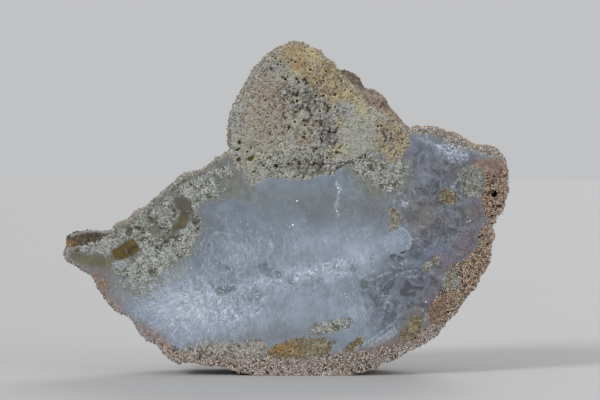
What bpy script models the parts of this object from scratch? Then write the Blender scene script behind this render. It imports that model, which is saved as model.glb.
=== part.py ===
"""Moss agate end cut: one piece of a chalcedony nodule, sawn flat on the front and left as natural rind all round.

Metres, +Z up, +X to the right of someone who faces the sawn face, +Y into the stone.
The origin is under the middle of the stone, on the surface that it stands on.
"""

import math

import bmesh
import bpy
import numpy as np
from mathutils import Vector, geometry, noise

# ---- driving dimensions ---------------------------------------------------------------
UNIT = 0.00026          # one drawing unit of the outlines below
DEPTH = 0.0285          # sawn face to the back where the stone is thickest, before the natural swelling
FULLNESS = 0.46         # how quickly the back reaches that depth: lower is boxier
WAIST_DEPTH = 0.0080    # how far behind the sawn face the stone is widest
FOOT_DEPTH = 0.0190     # the same, along the foot, where the underside runs straight back
RIND_SETBACK = 1.4      # drawing units: the saw cut stops this far inside the widest line
SWELL = 0.0012          # height of the slow swelling of the rind
FACET = 0.0026          # spacing of the points on the back
GRID = 0.001            # spacing of the grid that the fullness of the stone is worked out on
RIM_STATIONS = (0.28, 0.64, 1.0)

# The widest outline of the stone, anticlockwise seen from the front, in drawing units from the middle of its foot.
# The first points are the foot, which is flat: its height is 0.
WIDEST = [
    (-31, 0), (-20, 0), (-8, 0), (4, 0), (17, 0), (30, 0), (43, 0), (56, 0), (63, 0),
    (74, 2), (84, 5), (88, 6.5), (95, 11.5), (104, 13), (112, 18), (119, 22.5), (128, 26), (137, 31),
    (144, 35.5), (150, 40), (153, 45), (157, 48.5), (159.5, 54), (164, 58.5), (169, 63), (171.5, 69),
    (174, 74), (178, 79.5), (183, 84.5), (187, 88), (191, 94), (194, 100), (198, 105), (201, 111),
    (202.5, 118), (203, 125), (204.5, 131), (206, 137), (207.5, 143), (205, 148), (208.5, 152.5),
    (210, 159), (214, 163), (217.5, 168), (218, 175), (219.5, 181), (221.5, 186.5), (220.5, 193),
    (220.5, 201), (219.5, 209), (217.5, 217.5), (213, 223.5), (208, 227.5), (201, 230), (193, 231),
    (185, 232.5), (178, 236), (170, 240), (162, 243.5), (156, 246.5), (148, 248.5), (138, 249.5),
    (128, 249), (120, 248.5), (115, 253), (110, 259), (105, 265), (100.5, 271), (97.5, 277),
    (94, 282.5), (88, 286), (81, 287), (76, 288), (72.5, 294.5), (67, 301), (60, 305.5), (53, 306.5),
    (49, 309), (46.5, 314.5), (42, 317.5), (36.5, 321), (33.5, 325.5), (27, 328), (20, 331.5),
    (13, 335), (5, 335), (-2, 331.5), (-9, 328.5), (-17, 324.5), (-23.5, 320), (-28.5, 314.5),
    (-34.5, 309.5), (-37.5, 303), (-40.5, 295), (-44, 287.5), (-49, 281), (-53, 273.5), (-56, 266),
    (-59.5, 258), (-61, 250), (-61.5, 242), (-61, 234), (-59.5, 226), (-66, 221.5), (-73, 217),
    (-80, 211.5), (-89, 206.5), (-98, 204.5), (-107, 200), (-115, 193), (-123, 187.5), (-131, 181),
    (-139, 173), (-147, 167), (-155, 162), (-163, 155), (-171, 152.5), (-176.5, 146.5), (-184, 145),
    (-192, 146), (-202, 145.5), (-211, 143.5), (-218, 139.5), (-221.5, 135), (-222.5, 127),
    (-222.5, 120), (-220, 115), (-213, 110), (-206, 104), (-199, 98.5), (-193, 93), (-187.5, 85.5),
    (-182.5, 78), (-177.5, 70), (-171, 63.5), (-163, 60), (-156.5, 53.5), (-152, 46.5), (-147, 39),
    (-141, 34.5), (-134, 32.5), (-128, 27), (-124, 20), (-118, 15), (-109, 12), (-99, 12.5),
    (-89, 10.5), (-78, 9), (-68, 9), (-59, 5.5), (-49, 2.5), (-40, 1),
]

# Where the natural skin stands out further than the saw cut: the widest point, and the edge of the cut beside it.
CUT_EDGE = {
    (120, 248.5): (120, 247.5), (115, 253): (114, 251), (110, 259): (108, 255), (105, 265): (101, 258.5),
    (100.5, 271): (94, 262.5), (97.5, 277): (88, 266.5), (94, 282.5): (82, 270.5), (88, 286): (78, 275),
    (81, 287): (75, 280), (76, 288): (71, 284.5), (72.5, 294.5): (66, 289.5), (67, 301): (61.5, 295),
    (60, 305.5): (56.5, 300), (53, 306.5): (51, 304.5), (49, 309): (48, 308),
    (-56, 266): (-55, 265.5), (-59.5, 258): (-56.5, 257.5), (-61, 250): (-56.5, 249.5),
    (-61.5, 242): (-57, 242), (-61, 234): (-57.5, 234), (-59.5, 226): (-58, 225.5),
    (-176.5, 146.5): (-176.5, 144.5), (-184, 145): (-180.5, 140), (-192, 146): (-187, 135.5),
    (-202, 145.5): (-195, 132.5), (-211, 143.5): (-204, 130.2), (-218, 139.5): (-212.5, 129),
    (-221.5, 135): (-219, 128.5), (-222.5, 127): (-222, 125.5),
}


def step(low, high, value):
    """0 below low, 1 above high, smooth between."""
    t = np.clip((value - low) / (high - low), 0, 1)
    return t * t * (3 - 2 * t)


def outlines():
    """The widest line, the edge of the saw cut and the outward directions, as matching arrays in metres."""
    wide = np.array(WIDEST, float)
    along = np.roll(wide, -1, 0) - np.roll(wide, 1, 0)
    out = np.stack([along[:, 1], -along[:, 0]], 1) / np.linalg.norm(along, axis=1)[:, None]
    cut = wide - out * RIND_SETBACK
    for i, point in enumerate(WIDEST):
        if point in CUT_EDGE:
            cut[i] = CUT_EDGE[point]
        elif point[1] < 1:
            cut[i] = point          # along the foot the skin runs straight back from the cut
    return wide * UNIT, cut * UNIT, out


def inside(points, polygon):
    """Which points lie inside a closed polygon."""
    found = np.zeros(len(points), bool)
    for a, b in zip(polygon, np.roll(polygon, -1, 0)):
        if a[1] == b[1]:
            continue
        between = (a[1] > points[:, 1]) != (b[1] > points[:, 1])
        found ^= between & (points[:, 0] < a[0] + (points[:, 1] - a[1]) * (b[0] - a[0]) / (b[1] - a[1]))
    return found


def gap(points, polygon):
    """Distance from each point to the polygon's line."""
    best = np.full(len(points), 1.0)
    for a, b in zip(polygon, np.roll(polygon, -1, 0)):
        side = b - a
        t = np.clip(((points - a) @ side) / (side @ side), 0, 1)
        best = np.minimum(best, np.linalg.norm(points - a - t[:, None] * side, axis=1))
    return best


class Fullness:
    """A membrane blown up over the outline: 0 at its edge and 1 where the stone is fullest, with no ridges."""

    def __init__(self, polygon):
        self.low = polygon.min(0) - 2 * GRID
        self.shape = tuple(np.ceil((polygon.max(0) + 2 * GRID - self.low) / GRID).astype(int) + 1)
        x, z = np.meshgrid(np.arange(self.shape[0]), np.arange(self.shape[1]), indexing="ij")
        within = inside(np.stack([x.ravel(), z.ravel()], 1) * GRID + self.low, polygon).reshape(self.shape)
        u = np.zeros(self.shape)
        for _ in range(4000):
            u[1:-1, 1:-1] = (u[2:, 1:-1] + u[:-2, 1:-1] + u[1:-1, 2:] + u[1:-1, :-2] + 1.0) / 4
            u[~within] = 0
        self.u = u / u.max()

    def at(self, points):
        p = np.clip((points - self.low) / GRID, 0, np.array(self.shape) - 1.001)
        i = p.astype(int)
        f = p - i
        u = self.u
        return (
            u[i[:, 0], i[:, 1]] * (1 - f[:, 0]) * (1 - f[:, 1])
            + u[i[:, 0] + 1, i[:, 1]] * f[:, 0] * (1 - f[:, 1])
            + u[i[:, 0], i[:, 1] + 1] * (1 - f[:, 0]) * f[:, 1]
            + u[i[:, 0] + 1, i[:, 1] + 1] * f[:, 0] * f[:, 1]
        )


def waist(x, z):
    """Depth behind the saw cut at which the stone is widest."""
    deep = WAIST_DEPTH + (FOOT_DEPTH - WAIST_DEPTH) * (1 - step(0.0, 0.024, z))
    return deep - 0.0022 * step(-0.040, -0.052, x)


def swelling(x, y, z):
    """Slow lumps of the natural skin."""
    p = Vector((x, y, z))
    return SWELL * (noise.noise(p * 95.0) + 0.6 * noise.noise(p * 210.0 + Vector((3, 7, 1))))


def stone():
    wide, cut, out = outlines()
    n = len(wide)

    # Sections from the edge of the saw cut to the widest line.
    rings = [[(x, 0.0, z) for x, z in cut]]
    for s in RIM_STATIONS:
        ring = []
        for i in range(n):
            x, z = cut[i] + (wide[i] - cut[i]) * math.sin(s * math.pi / 2)
            y = float(waist(x, z)) * s
            lump = swelling(x, y, z) * s * float(step(0.002, 0.012, wide[i][1]))
            ring.append((x + out[i][0] * lump, y, max(0.0, z + out[i][1] * lump)))
        rings.append(ring)

    # The back: points spread evenly inside the widest line, each as deep as the stone is full there.
    edge = np.array([(x, z) for x, _, z in rings[-1]])
    low, high = edge.min(0), edge.max(0)
    spread = []
    for row in range(int((high[1] - low[1]) / (FACET * 0.866)) + 1):
        for column in range(int((high[0] - low[0]) / FACET) + 2):
            spread.append((low[0] + (column + 0.5 * (row % 2)) * FACET, low[1] + row * FACET * 0.866))
    spread = np.array(spread)
    spread = spread[inside(spread, edge)]
    spread = spread[gap(spread, edge) > 0.45 * FACET]
    flat = [Vector(p) for p in np.concatenate([edge, spread])]
    sides = [(i, (i + 1) % n) for i in range(n)]
    flat, _, faces, sources, _, _ = geometry.delaunay_2d_cdt(flat, sides, [list(range(n))], 1, 1e-7)
    assert len(flat) == n + len(spread)
    order = [source[0] for source in sources]
    fullness = Fullness(edge).at(spread)

    bm = bmesh.new()
    rows = [[bm.verts.new(p) for p in ring] for ring in rings]
    back = list(rows[-1])
    for (x, z), u in zip(spread, fullness):
        near = float(waist(x, z))
        y = near + (DEPTH - near) * float(u) ** FULLNESS
        y += swelling(x, y, z) * 1.8 * min(1.0, float(u) / 0.1) * float(step(0.001, 0.014, z))
        back.append(bm.verts.new((x, y, z)))
    for first, second in zip(rows, rows[1:]):
        for i in range(n):
            j = (i + 1) % n
            bm.faces.new((first[i], first[j], second[j], second[i]))
    for face in faces:
        bm.faces.new([back[order[i]] for i in face])
    bm.faces.new(rows[0])           # the sawn face, one flat polygon that looks towards -Y
    bmesh.ops.triangulate(bm, faces=[f for f in bm.faces if len(f.verts) > 4], ngon_method="EAR_CLIP")
    bmesh.ops.triangulate(bm, faces=[f for f in bm.faces if len(f.verts) == 4], quad_method="SHORT_EDGE")
    bmesh.ops.recalc_face_normals(bm, faces=bm.faces)

    # The origin goes under the middle of the stone.
    low = [min(v.co[k] for v in bm.verts) for k in range(3)]
    high = [max(v.co[k] for v in bm.verts) for k in range(3)]
    middle = Vector(((low[0] + high[0]) / 2, (low[1] + high[1]) / 2, 0.0))
    for v in bm.verts:
        v.co -= middle

    mesh = bpy.data.meshes.new("moss_agate")
    bm.to_mesh(mesh)
    bm.free()
    mesh.shade_smooth()
    mesh.set_sharp_from_angle(angle=math.radians(38))
    return bpy.data.objects.new("moss_agate", mesh)


def chalcedony():
    material = bpy.data.materials.new("chalcedony")
    material.use_nodes = True
    shader = material.node_tree.nodes["Principled BSDF"]
    shader.inputs["Base Color"].default_value = (0.27, 0.29, 0.31, 1.0)
    shader.inputs["Roughness"].default_value = 0.5
    shader.inputs["Metallic"].default_value = 0.0
    return material


def main():
    for o in list(bpy.data.objects):
        bpy.data.objects.remove(o)
    agate = stone()
    agate.data.materials.append(chalcedony())
    bpy.context.scene.collection.objects.link(agate)


main()
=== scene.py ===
"""The looks of a moss agate end cut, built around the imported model.

Places on the sawn face are written in drawing units of 0.26 mm: x to the right and y down, as P() turns them into metres.
"""

import math

import bpy
import numpy as np
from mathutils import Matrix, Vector, geometry, noise


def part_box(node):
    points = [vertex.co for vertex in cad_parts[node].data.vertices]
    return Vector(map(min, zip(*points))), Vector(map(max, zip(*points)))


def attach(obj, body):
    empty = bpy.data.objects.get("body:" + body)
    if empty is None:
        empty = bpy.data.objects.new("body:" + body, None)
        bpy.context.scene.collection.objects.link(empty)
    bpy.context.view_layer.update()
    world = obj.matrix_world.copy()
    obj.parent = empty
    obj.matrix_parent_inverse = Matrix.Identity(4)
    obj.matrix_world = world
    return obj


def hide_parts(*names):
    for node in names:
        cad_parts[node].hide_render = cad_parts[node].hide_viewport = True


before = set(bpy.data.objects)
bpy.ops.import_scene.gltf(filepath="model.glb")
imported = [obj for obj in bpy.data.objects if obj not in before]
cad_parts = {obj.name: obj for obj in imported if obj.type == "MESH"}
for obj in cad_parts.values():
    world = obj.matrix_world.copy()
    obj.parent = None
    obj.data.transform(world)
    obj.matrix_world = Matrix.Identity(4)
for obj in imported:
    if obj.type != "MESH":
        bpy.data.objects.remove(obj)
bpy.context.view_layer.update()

# ---- the stone's outline, as in the CAD model ------------------------------------------
U = 0.00026
MIDDLE_X, BASE_Y = 287.5, 376.0
FRONT = float(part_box("moss_agate")[0][1])      # the plane of the saw cut
DEPTH = 0.0285
WAIST, FOOT = 0.0080, 0.0190
SWELL = 0.0012

WIDEST = [
    (-31, 0), (-20, 0), (-8, 0), (4, 0), (17, 0), (30, 0), (43, 0), (56, 0), (63, 0),
    (74, 2), (84, 5), (88, 6.5), (95, 11.5), (104, 13), (112, 18), (119, 22.5), (128, 26), (137, 31),
    (144, 35.5), (150, 40), (153, 45), (157, 48.5), (159.5, 54), (164, 58.5), (169, 63), (171.5, 69),
    (174, 74), (178, 79.5), (183, 84.5), (187, 88), (191, 94), (194, 100), (198, 105), (201, 111),
    (202.5, 118), (203, 125), (204.5, 131), (206, 137), (207.5, 143), (205, 148), (208.5, 152.5),
    (210, 159), (214, 163), (217.5, 168), (218, 175), (219.5, 181), (221.5, 186.5), (220.5, 193),
    (220.5, 201), (219.5, 209), (217.5, 217.5), (213, 223.5), (208, 227.5), (201, 230), (193, 231),
    (185, 232.5), (178, 236), (170, 240), (162, 243.5), (156, 246.5), (148, 248.5), (138, 249.5),
    (128, 249), (120, 248.5), (115, 253), (110, 259), (105, 265), (100.5, 271), (97.5, 277),
    (94, 282.5), (88, 286), (81, 287), (76, 288), (72.5, 294.5), (67, 301), (60, 305.5), (53, 306.5),
    (49, 309), (46.5, 314.5), (42, 317.5), (36.5, 321), (33.5, 325.5), (27, 328), (20, 331.5),
    (13, 335), (5, 335), (-2, 331.5), (-9, 328.5), (-17, 324.5), (-23.5, 320), (-28.5, 314.5),
    (-34.5, 309.5), (-37.5, 303), (-40.5, 295), (-44, 287.5), (-49, 281), (-53, 273.5), (-56, 266),
    (-59.5, 258), (-61, 250), (-61.5, 242), (-61, 234), (-59.5, 226), (-66, 221.5), (-73, 217),
    (-80, 211.5), (-89, 206.5), (-98, 204.5), (-107, 200), (-115, 193), (-123, 187.5), (-131, 181),
    (-139, 173), (-147, 167), (-155, 162), (-163, 155), (-171, 152.5), (-176.5, 146.5), (-184, 145),
    (-192, 146), (-202, 145.5), (-211, 143.5), (-218, 139.5), (-221.5, 135), (-222.5, 127),
    (-222.5, 120), (-220, 115), (-213, 110), (-206, 104), (-199, 98.5), (-193, 93), (-187.5, 85.5),
    (-182.5, 78), (-177.5, 70), (-171, 63.5), (-163, 60), (-156.5, 53.5), (-152, 46.5), (-147, 39),
    (-141, 34.5), (-134, 32.5), (-128, 27), (-124, 20), (-118, 15), (-109, 12), (-99, 12.5),
    (-89, 10.5), (-78, 9), (-68, 9), (-59, 5.5), (-49, 2.5), (-40, 1),
]
CUT_EDGE = {
    (120, 248.5): (120, 247.5), (115, 253): (114, 251), (110, 259): (108, 255), (105, 265): (101, 258.5),
    (100.5, 271): (94, 262.5), (97.5, 277): (88, 266.5), (94, 282.5): (82, 270.5), (88, 286): (78, 275),
    (81, 287): (75, 280), (76, 288): (71, 284.5), (72.5, 294.5): (66, 289.5), (67, 301): (61.5, 295),
    (60, 305.5): (56.5, 300), (53, 306.5): (51, 304.5), (49, 309): (48, 308),
    (-56, 266): (-55, 265.5), (-59.5, 258): (-56.5, 257.5), (-61, 250): (-56.5, 249.5),
    (-61.5, 242): (-57, 242), (-61, 234): (-57.5, 234), (-59.5, 226): (-58, 225.5),
    (-176.5, 146.5): (-176.5, 144.5), (-184, 145): (-180.5, 140), (-192, 146): (-187, 135.5),
    (-202, 145.5): (-195, 132.5), (-211, 143.5): (-204, 130.2), (-218, 139.5): (-212.5, 129),
    (-221.5, 135): (-219, 128.5), (-222.5, 127): (-222, 125.5),
}

# ---- small tools --------------------------------------------------------------------------


def step(low, high, value):
    t = np.clip((np.asarray(value, float) - low) / (high - low), 0, 1)
    return t * t * (3 - 2 * t)


def inside(points, polygon):
    found = np.zeros(len(points), bool)
    for a, b in zip(polygon, np.roll(polygon, -1, 0)):
        if a[1] == b[1]:
            continue
        between = (a[1] > points[:, 1]) != (b[1] > points[:, 1])
        found ^= between & (points[:, 0] < a[0] + (points[:, 1] - a[1]) * (b[0] - a[0]) / (b[1] - a[1]))
    return found


def gap(points, line, closed=True):
    best = np.full(len(points), 1e9)
    ends = np.roll(line, -1, 0) if closed else line[1:]
    for a, b in zip(line, ends):
        side = b - a
        t = np.clip(((points - a) @ side) / max(side @ side, 1e-12), 0, 1)
        w = points - a - t[:, None] * side
        best = np.minimum(best, (w * w).sum(1))
    return np.sqrt(best)


def smooth_noise(points, size, seed=0.0, octaves=1):
    """Perlin noise, about -1 to 1, with lumps about `size` across, in the units of the points (n, 2) or (n, 3)."""
    p = np.asarray(points, float) / size
    if p.shape[1] == 2:
        p = np.concatenate([p, np.full((len(p), 1), 0.37)], 1)
    p = p + np.array([seed * 17.31, seed * 5.77, seed * 11.13])
    total, amount, weight = np.zeros(len(p)), 1.0, 0.0
    for _ in range(octaves):
        total += amount * np.array([noise.noise(q) for q in p.tolist()])
        weight += amount
        p, amount = p * 2.03 + 7.1, amount * 0.5
    return total / weight * 1.6


def cells(points, size, seed=0.0):
    """(distance to the nearest cell point in cells, a random number from 0 to 1 for that cell)."""
    p = np.asarray(points, float) / size
    if p.shape[1] == 2:
        p = np.concatenate([p, np.full((len(p), 1), 0.5)], 1)
    p = p + seed * 13.7
    first, second, number = [], [], []
    for q in p.tolist():
        d, near = noise.voronoi(q)
        first.append(d[0])
        second.append(d[1])
        n = near[0]
        number.append((n[0] * 12.9898 + n[1] * 78.233 + n[2] * 37.719) % 1.0)
    return np.array(first), np.array(second), np.array(number)


def closed_curve(points, per):
    """Catmull-Rom curve through a closed list of points."""
    p = np.asarray(points, float)
    a, b, c, d = np.roll(p, 1, 0), p, np.roll(p, -1, 0), np.roll(p, -2, 0)
    t = np.arange(per)[None, :, None] / per
    a, b, c, d = (q[:, None, :] for q in (a, b, c, d))
    made = 0.5 * (2 * b + (c - a) * t + (2 * a - 5 * b + 4 * c - d) * t**2 + (3 * b - a - 3 * c + d) * t**3)
    return made.reshape(-1, 2)


def sheet(points):
    """World x, z in metres to drawing units."""
    return np.stack([points[:, 0] / U + MIDDLE_X, BASE_Y - points[:, 1] / U], 1)


def spread(low, high, space):
    rows = int((high[1] - low[1]) / (space * 0.866)) + 2
    columns = int((high[0] - low[0]) / space) + 2
    i, j = np.meshgrid(np.arange(columns), np.arange(rows), indexing="ij")
    return np.stack([low[0] + (i + 0.5 * (j % 2)) * space, low[1] + j * space * 0.866], -1).reshape(-1, 2)


# ---- where things are on the sawn face, in drawing units -----------------------------------
HUMP = [
    (226, 150), (233, 160), (236, 168), (243, 174), (247, 182), (253, 186), (258, 182), (266, 178), (275, 177),
    (285, 179), (293, 181), (302, 180), (312, 178), (322, 175), (330, 175), (335, 177), (337, 171), (341, 165),
    (348, 161), (357, 159), (364, 157), (368, 153), (373, 150), (383, 158), (388, 162), (395, 163), (402, 158),
    (407, 150), (410, 140), (409, 128), (420, 100), (390, 60), (330, 20), (280, 20), (230, 60), (210, 130),
]
MOSS = {
    "strip": [(170, 186), (182, 176), (196, 169), (205, 166), (215, 160), (228, 166), (233, 174), (225, 182), (224, 190),
              (219, 197), (208, 200), (200, 204), (197, 212), (191, 209), (189, 200), (180, 197), (172, 196)],
    "wing": [(106, 236), (112, 226), (125, 219), (135, 211), (145, 205), (155, 199), (165, 193), (173, 196), (175, 206),
             (180, 212), (178, 221), (171, 229), (164, 238), (160, 247), (150, 252), (141, 254), (140, 246), (136, 240), (126, 240),
             (118, 244), (111, 248), (106, 245)],
    "low": [(114, 268), (117, 263), (128, 262), (138, 258), (145, 250), (155, 243), (165, 238), (176, 233), (188, 226),
            (192, 212), (198, 216), (198, 228), (197, 243), (190, 253), (183, 260), (174, 264), (164, 268), (158, 276), (148, 281),
            (140, 284), (131, 285), (122, 278), (117, 273)],
    "tip": [(72, 246), (85, 245), (100, 243), (109, 240), (118, 240), (112, 250), (104, 255), (90, 253), (75, 252)],
    "under": [(352, 160), (362, 157), (372, 152), (384, 160), (396, 164), (405, 160), (409, 168), (405, 180),
              (398, 187), (388, 193), (378, 189), (368, 182), (357, 176), (351, 168)],
    "knot_a": [(462, 168), (470, 165), (479, 168), (484, 175), (485, 185), (483, 194), (476, 199), (468, 197),
               (461, 190), (463, 182), (459, 175)],
    "knot_b": [(441, 192), (447, 187), (455, 190), (458, 197), (454, 204), (446, 205), (440, 200)],
    "knot_c": [(423, 268), (426, 263), (430, 262), (434, 258), (439, 255), (441, 259), (438, 264), (432, 267),
               (430, 272), (425, 273)],
    "knot_d": [(345, 350), (348, 343), (355, 339), (363, 336), (368, 341), (360, 347), (352, 352)],
    "knot_e": [(398, 340), (402, 333), (410, 322), (417, 315), (424, 319), (422, 328), (414, 337), (404, 343)],
    "tube": [(388, 208), (395, 206), (401, 212), (399, 222), (396, 231), (390, 229), (391, 218)],
    "patch": [(308, 331), (315, 324), (325, 320), (338, 319), (349, 318), (352, 324), (344, 330), (332, 334), (318, 335)],
    "shelf": [(183, 353), (190, 345), (205, 342), (220, 343), (232, 344), (245, 341), (262, 341), (268, 346),
              (262, 354), (245, 358), (220, 357), (200, 357)],
    "gold": [(268, 352), (277, 344), (290, 340), (302, 338), (315, 339), (328, 338), (335, 342), (330, 350),
             (320, 356), (305, 360), (290, 359), (276, 358)],
    "rim_patch": [(444, 276), (450, 271), (458, 270), (461, 277), (457, 286), (449, 292), (444, 288)],
    "dendrite": [(429, 312), (433, 303), (440, 299), (446, 305), (443, 314), (440, 322), (434, 324), (430, 319)],
}
RIGHT_RIM = [
    (520, 168), (506, 170), (490, 168), (483, 176), (486, 185), (482, 200), (486, 215), (483, 225), (478, 240),
    (474, 250), (465, 258), (452, 265), (447, 275), (445, 288), (437, 297), (431, 305), (431, 315), (436, 325),
    (445, 345), (520, 300),
]
BOTTOM = [
    (150, 400), (140, 350), (158, 339), (172, 346), (185, 351), (200, 356), (220, 358), (245, 358), (262, 356),
    (280, 359), (305, 361), (325, 355), (345, 353), (358, 352), (375, 351), (390, 347), (405, 343), (422, 334),
    (436, 322), (460, 330), (430, 400),
]
UPPER_BAND = [
    (402, 118), (403, 132), (410, 135), (420, 134), (430, 135), (440, 139), (452, 144), (462, 149), (472, 152),
    (484, 154), (494, 160), (503, 168), (520, 168), (515, 140), (470, 120), (430, 110),
]
TIP_GREEN = [(68, 247), (80, 251), (95, 254), (106, 257), (113, 256), (119, 262), (112, 268), (95, 268), (80, 264), (69, 258)]
WINDOW = [(111, 251), (120, 245), (132, 238), (137, 243), (140, 250), (135, 255), (125, 258), (117, 261), (113, 256)]
LOBE = [(386, 236), (394, 229), (402, 227), (409, 233), (412, 240), (408, 248), (401, 253), (392, 256), (387, 249), (384, 242)]
LENS = [(406, 313), (417, 306), (427, 314), (436, 325), (424, 335), (412, 341), (400, 343), (398, 332), (403, 322)]
LATH = [(368, 346), (382, 336), (395, 328), (398, 332), (388, 340), (374, 348)]
CLEFTS = [
    ([(283, 78), (287, 82), (285, 88)], 2.0), ([(289, 87), (291, 93), (296, 95), (299, 92)], 2.3), ([(300, 108), (306, 109), (309, 106)], 1.9),
    ([(309, 111), (312, 116), (308, 121), (303, 120)], 2.4), ([(314, 122), (319, 120), (322, 126), (325, 131), (330, 133), (336, 132), (338, 126)], 2.6),
    ([(322, 133), (320, 137), (323, 142)], 2.5), ([(328, 142), (332, 145), (336, 142), (333, 149)], 2.8), ([(325, 103), (329, 108), (327, 113)], 2.5),
    ([(315, 101), (319, 102), (323, 101)], 1.7), ([(337, 112), (340, 120)], 2.2), ([(311, 148), (318, 149)], 1.8),
    ([(306, 160), (311, 165), (316, 163), (320, 167), (324, 164)], 2.1), ([(296, 160), (300, 163)], 1.7), ([(288, 163), (292, 165)], 1.5),
    ([(284, 126), (287, 131)], 1.8), ([(302, 136), (309, 142)], 1.8), ([(310, 130), (313, 134)], 2.0), ([(291, 99), (294, 104)], 1.9),
    ([(332, 152), (338, 153), (343, 155)], 1.6), ([(383, 132), (386, 138), (383, 143)], 2.0), ([(391, 137), (394, 142)], 1.8),
    ([(270, 67), (275, 72)], 1.8), ([(262, 70), (265, 75)], 1.5), ([(304, 80), (309, 84)], 1.6), ([(296, 78), (299, 82)], 1.5),
]
RING_PORES = [
    (298, 101, 3.4), (295, 122, 3.2), (303, 113, 2.8), (288, 103, 2.2), (296, 88, 2.6), (285, 80, 2.2), (318, 83, 2.6), (323, 96, 3.0),
    (335, 95, 2.6), (320, 111, 2.6), (335, 107, 2.2), (316, 96, 2.2), (341, 81, 2.0), (345, 90, 2.0), (310, 70, 2.4), (322, 72, 2.2),
    (332, 84, 2.2), (276, 58, 2.4), (268, 62, 2.2), (330, 150, 2.0), (347, 145, 1.8), (282, 147, 2.0), (263, 158, 2.2), (247, 152, 2.6),
    (286, 158, 2.0), (252, 128, 1.8), (327, 158, 2.0), (312, 160, 2.0), (355, 128, 1.6), (361, 141, 1.6), (372, 117, 2.0), (378, 126, 2.0),
]
GLASSY = [
    ([(212, 289), (220, 287), (227, 285.5), (236, 287), (238, 289), (231, 293), (222, 296), (215, 294)], 1.0),
    ([(218, 283), (222, 276), (228, 272), (236, 270), (248, 270), (253, 275), (246, 280), (240, 284), (230, 285), (222, 286)], 0.42),
    ([(214, 260), (220, 261.5), (228, 266), (232, 270), (226, 271), (220, 267)], 0.8),
    ([(257, 267), (261, 264), (267, 262), (270, 268), (282, 272), (281, 278), (276, 280), (268, 277), (262, 274)], 0.72),
    ([(179, 286), (182, 286), (190, 298), (188, 301), (184, 296)], 0.7), ([(178, 300), (185, 302), (183, 305), (179, 305)], 0.7),
    ([(257, 292), (260, 292), (262, 296), (260, 299), (257, 297)], 0.55), ([(245, 255), (248, 256), (249, 261), (246, 261)], 0.7),
    ([(200, 293), (204, 294), (203, 297), (199, 296)], 0.6), ([(210, 283), (213, 285), (215, 289), (212, 288)], 0.7),
    ([(262, 246), (266, 240), (268, 243), (264, 251)], 0.35), ([(193, 304), (198, 303), (203, 305), (198, 307)], 0.5),
    ([(286, 283), (291, 281), (297, 283), (293, 287), (288, 287)], 0.4), ([(312, 279), (318, 277), (324, 279), (318, 283)], 0.35),
    ([(206, 244), (210, 240), (216, 242), (213, 250), (208, 251)], 0.25), ([(196, 262), (204, 258), (212, 264), (206, 272), (198, 270)], 0.28),
]
SEAM = [(150, 312), (175, 303), (205, 292), (225, 288), (250, 283), (285, 277), (310, 272), (338, 268), (356, 262), (385, 254), (405, 250)]


def drawn(name_or_list):
    return np.array(MOSS[name_or_list] if isinstance(name_or_list, str) else name_or_list, float)


class Face:
    """Fields over points of the sawn face, which are in drawing units."""

    def __init__(self, points):
        self.p = points
        self.wide_wobble = smooth_noise(points, 9.0, 1.0, 2)
        self.fine_wobble = smooth_noise(points, 3.1, 2.0, 1)

    def area(self, polygon, soft=1.5, wobble=2.0, fine=1.0):
        """1 inside, 0 outside, with a wandering edge."""
        polygon = drawn(polygon)
        low, high = polygon.min(0) - soft - 12, polygon.max(0) + soft + 12
        near = ((self.p > low) & (self.p < high)).all(1)
        out = np.zeros(len(self.p))
        q = self.p[near]
        d = gap(q, polygon)
        d = np.where(inside(q, polygon), d, -d) + wobble * self.wide_wobble[near] + fine * self.fine_wobble[near]
        out[near] = step(-soft, soft, d)
        return out

    def line(self, points, width, wobble=0.0):
        """1 on a drawn line, falling to 0 at `width` from it."""
        line = np.array(points, float)
        near = ((self.p > line.min(0) - width - 6) & (self.p < line.max(0) + width + 6)).all(1)
        out = np.zeros(len(self.p))
        d = gap(self.p[near], line, closed=False) + wobble * self.fine_wobble[near]
        out[near] = 1 - step(0, width, np.abs(d))
        return out

    def blob(self, x, y, rx, ry, turn=0.0):
        """A soft oval cloud: 1 in its middle."""
        a = math.radians(turn)
        dx, dy = self.p[:, 0] - x, self.p[:, 1] - y
        u, v = dx * math.cos(a) + dy * math.sin(a), -dx * math.sin(a) + dy * math.cos(a)
        return np.exp(-((u / rx) ** 2 + (v / ry) ** 2))


# ---- outline, fine ---------------------------------------------------------------------------
def fine_outline():
    wide = np.array(WIDEST, float)
    along = np.roll(wide, -1, 0) - np.roll(wide, 1, 0)
    out = np.stack([along[:, 1], -along[:, 0]], 1) / np.linalg.norm(along, axis=1)[:, None]
    cut = wide - out * 1.4
    for i, point in enumerate(WIDEST):
        if point in CUT_EDGE:
            cut[i] = CUT_EDGE[point]
        elif point[1] < 1:
            cut[i] = point
    wide, cut = closed_curve(wide, 24), closed_curve(cut, 24)
    length = np.linalg.norm(np.roll(cut, -1, 0) - cut, axis=1)
    reach = np.concatenate([[0], np.cumsum(length)])
    count = int(reach[-1] / (1.05))
    at = np.linspace(0, reach[-1], count, endpoint=False)
    def along_it(curve):
        closed = np.concatenate([curve, curve[:1]])
        return np.stack([np.interp(at, reach, closed[:, k]) for k in range(2)], 1)
    wide, cut = along_it(wide), along_it(cut)
    side = np.roll(cut, -2, 0) - np.roll(cut, 2, 0)
    out = np.stack([side[:, 1], -side[:, 0]], 1) / np.linalg.norm(side, axis=1)[:, None]
    ragged = 0.9 * smooth_noise(cut, 7.0, 3.0) + 0.95 * smooth_noise(cut, 3.4, 4.0) + 0.8 * smooth_noise(cut, 1.9, 5.0)
    cut = cut + out * (ragged * 0.62)[:, None]
    wide = wide + out * (ragged * 0.35)[:, None]
    cut[:, 1], wide[:, 1] = np.maximum(cut[:, 1], 0), np.maximum(wide[:, 1], 0)
    shift = np.array([0.5, 0.0])
    return (wide + shift) * U, (cut + shift) * U, out


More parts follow.
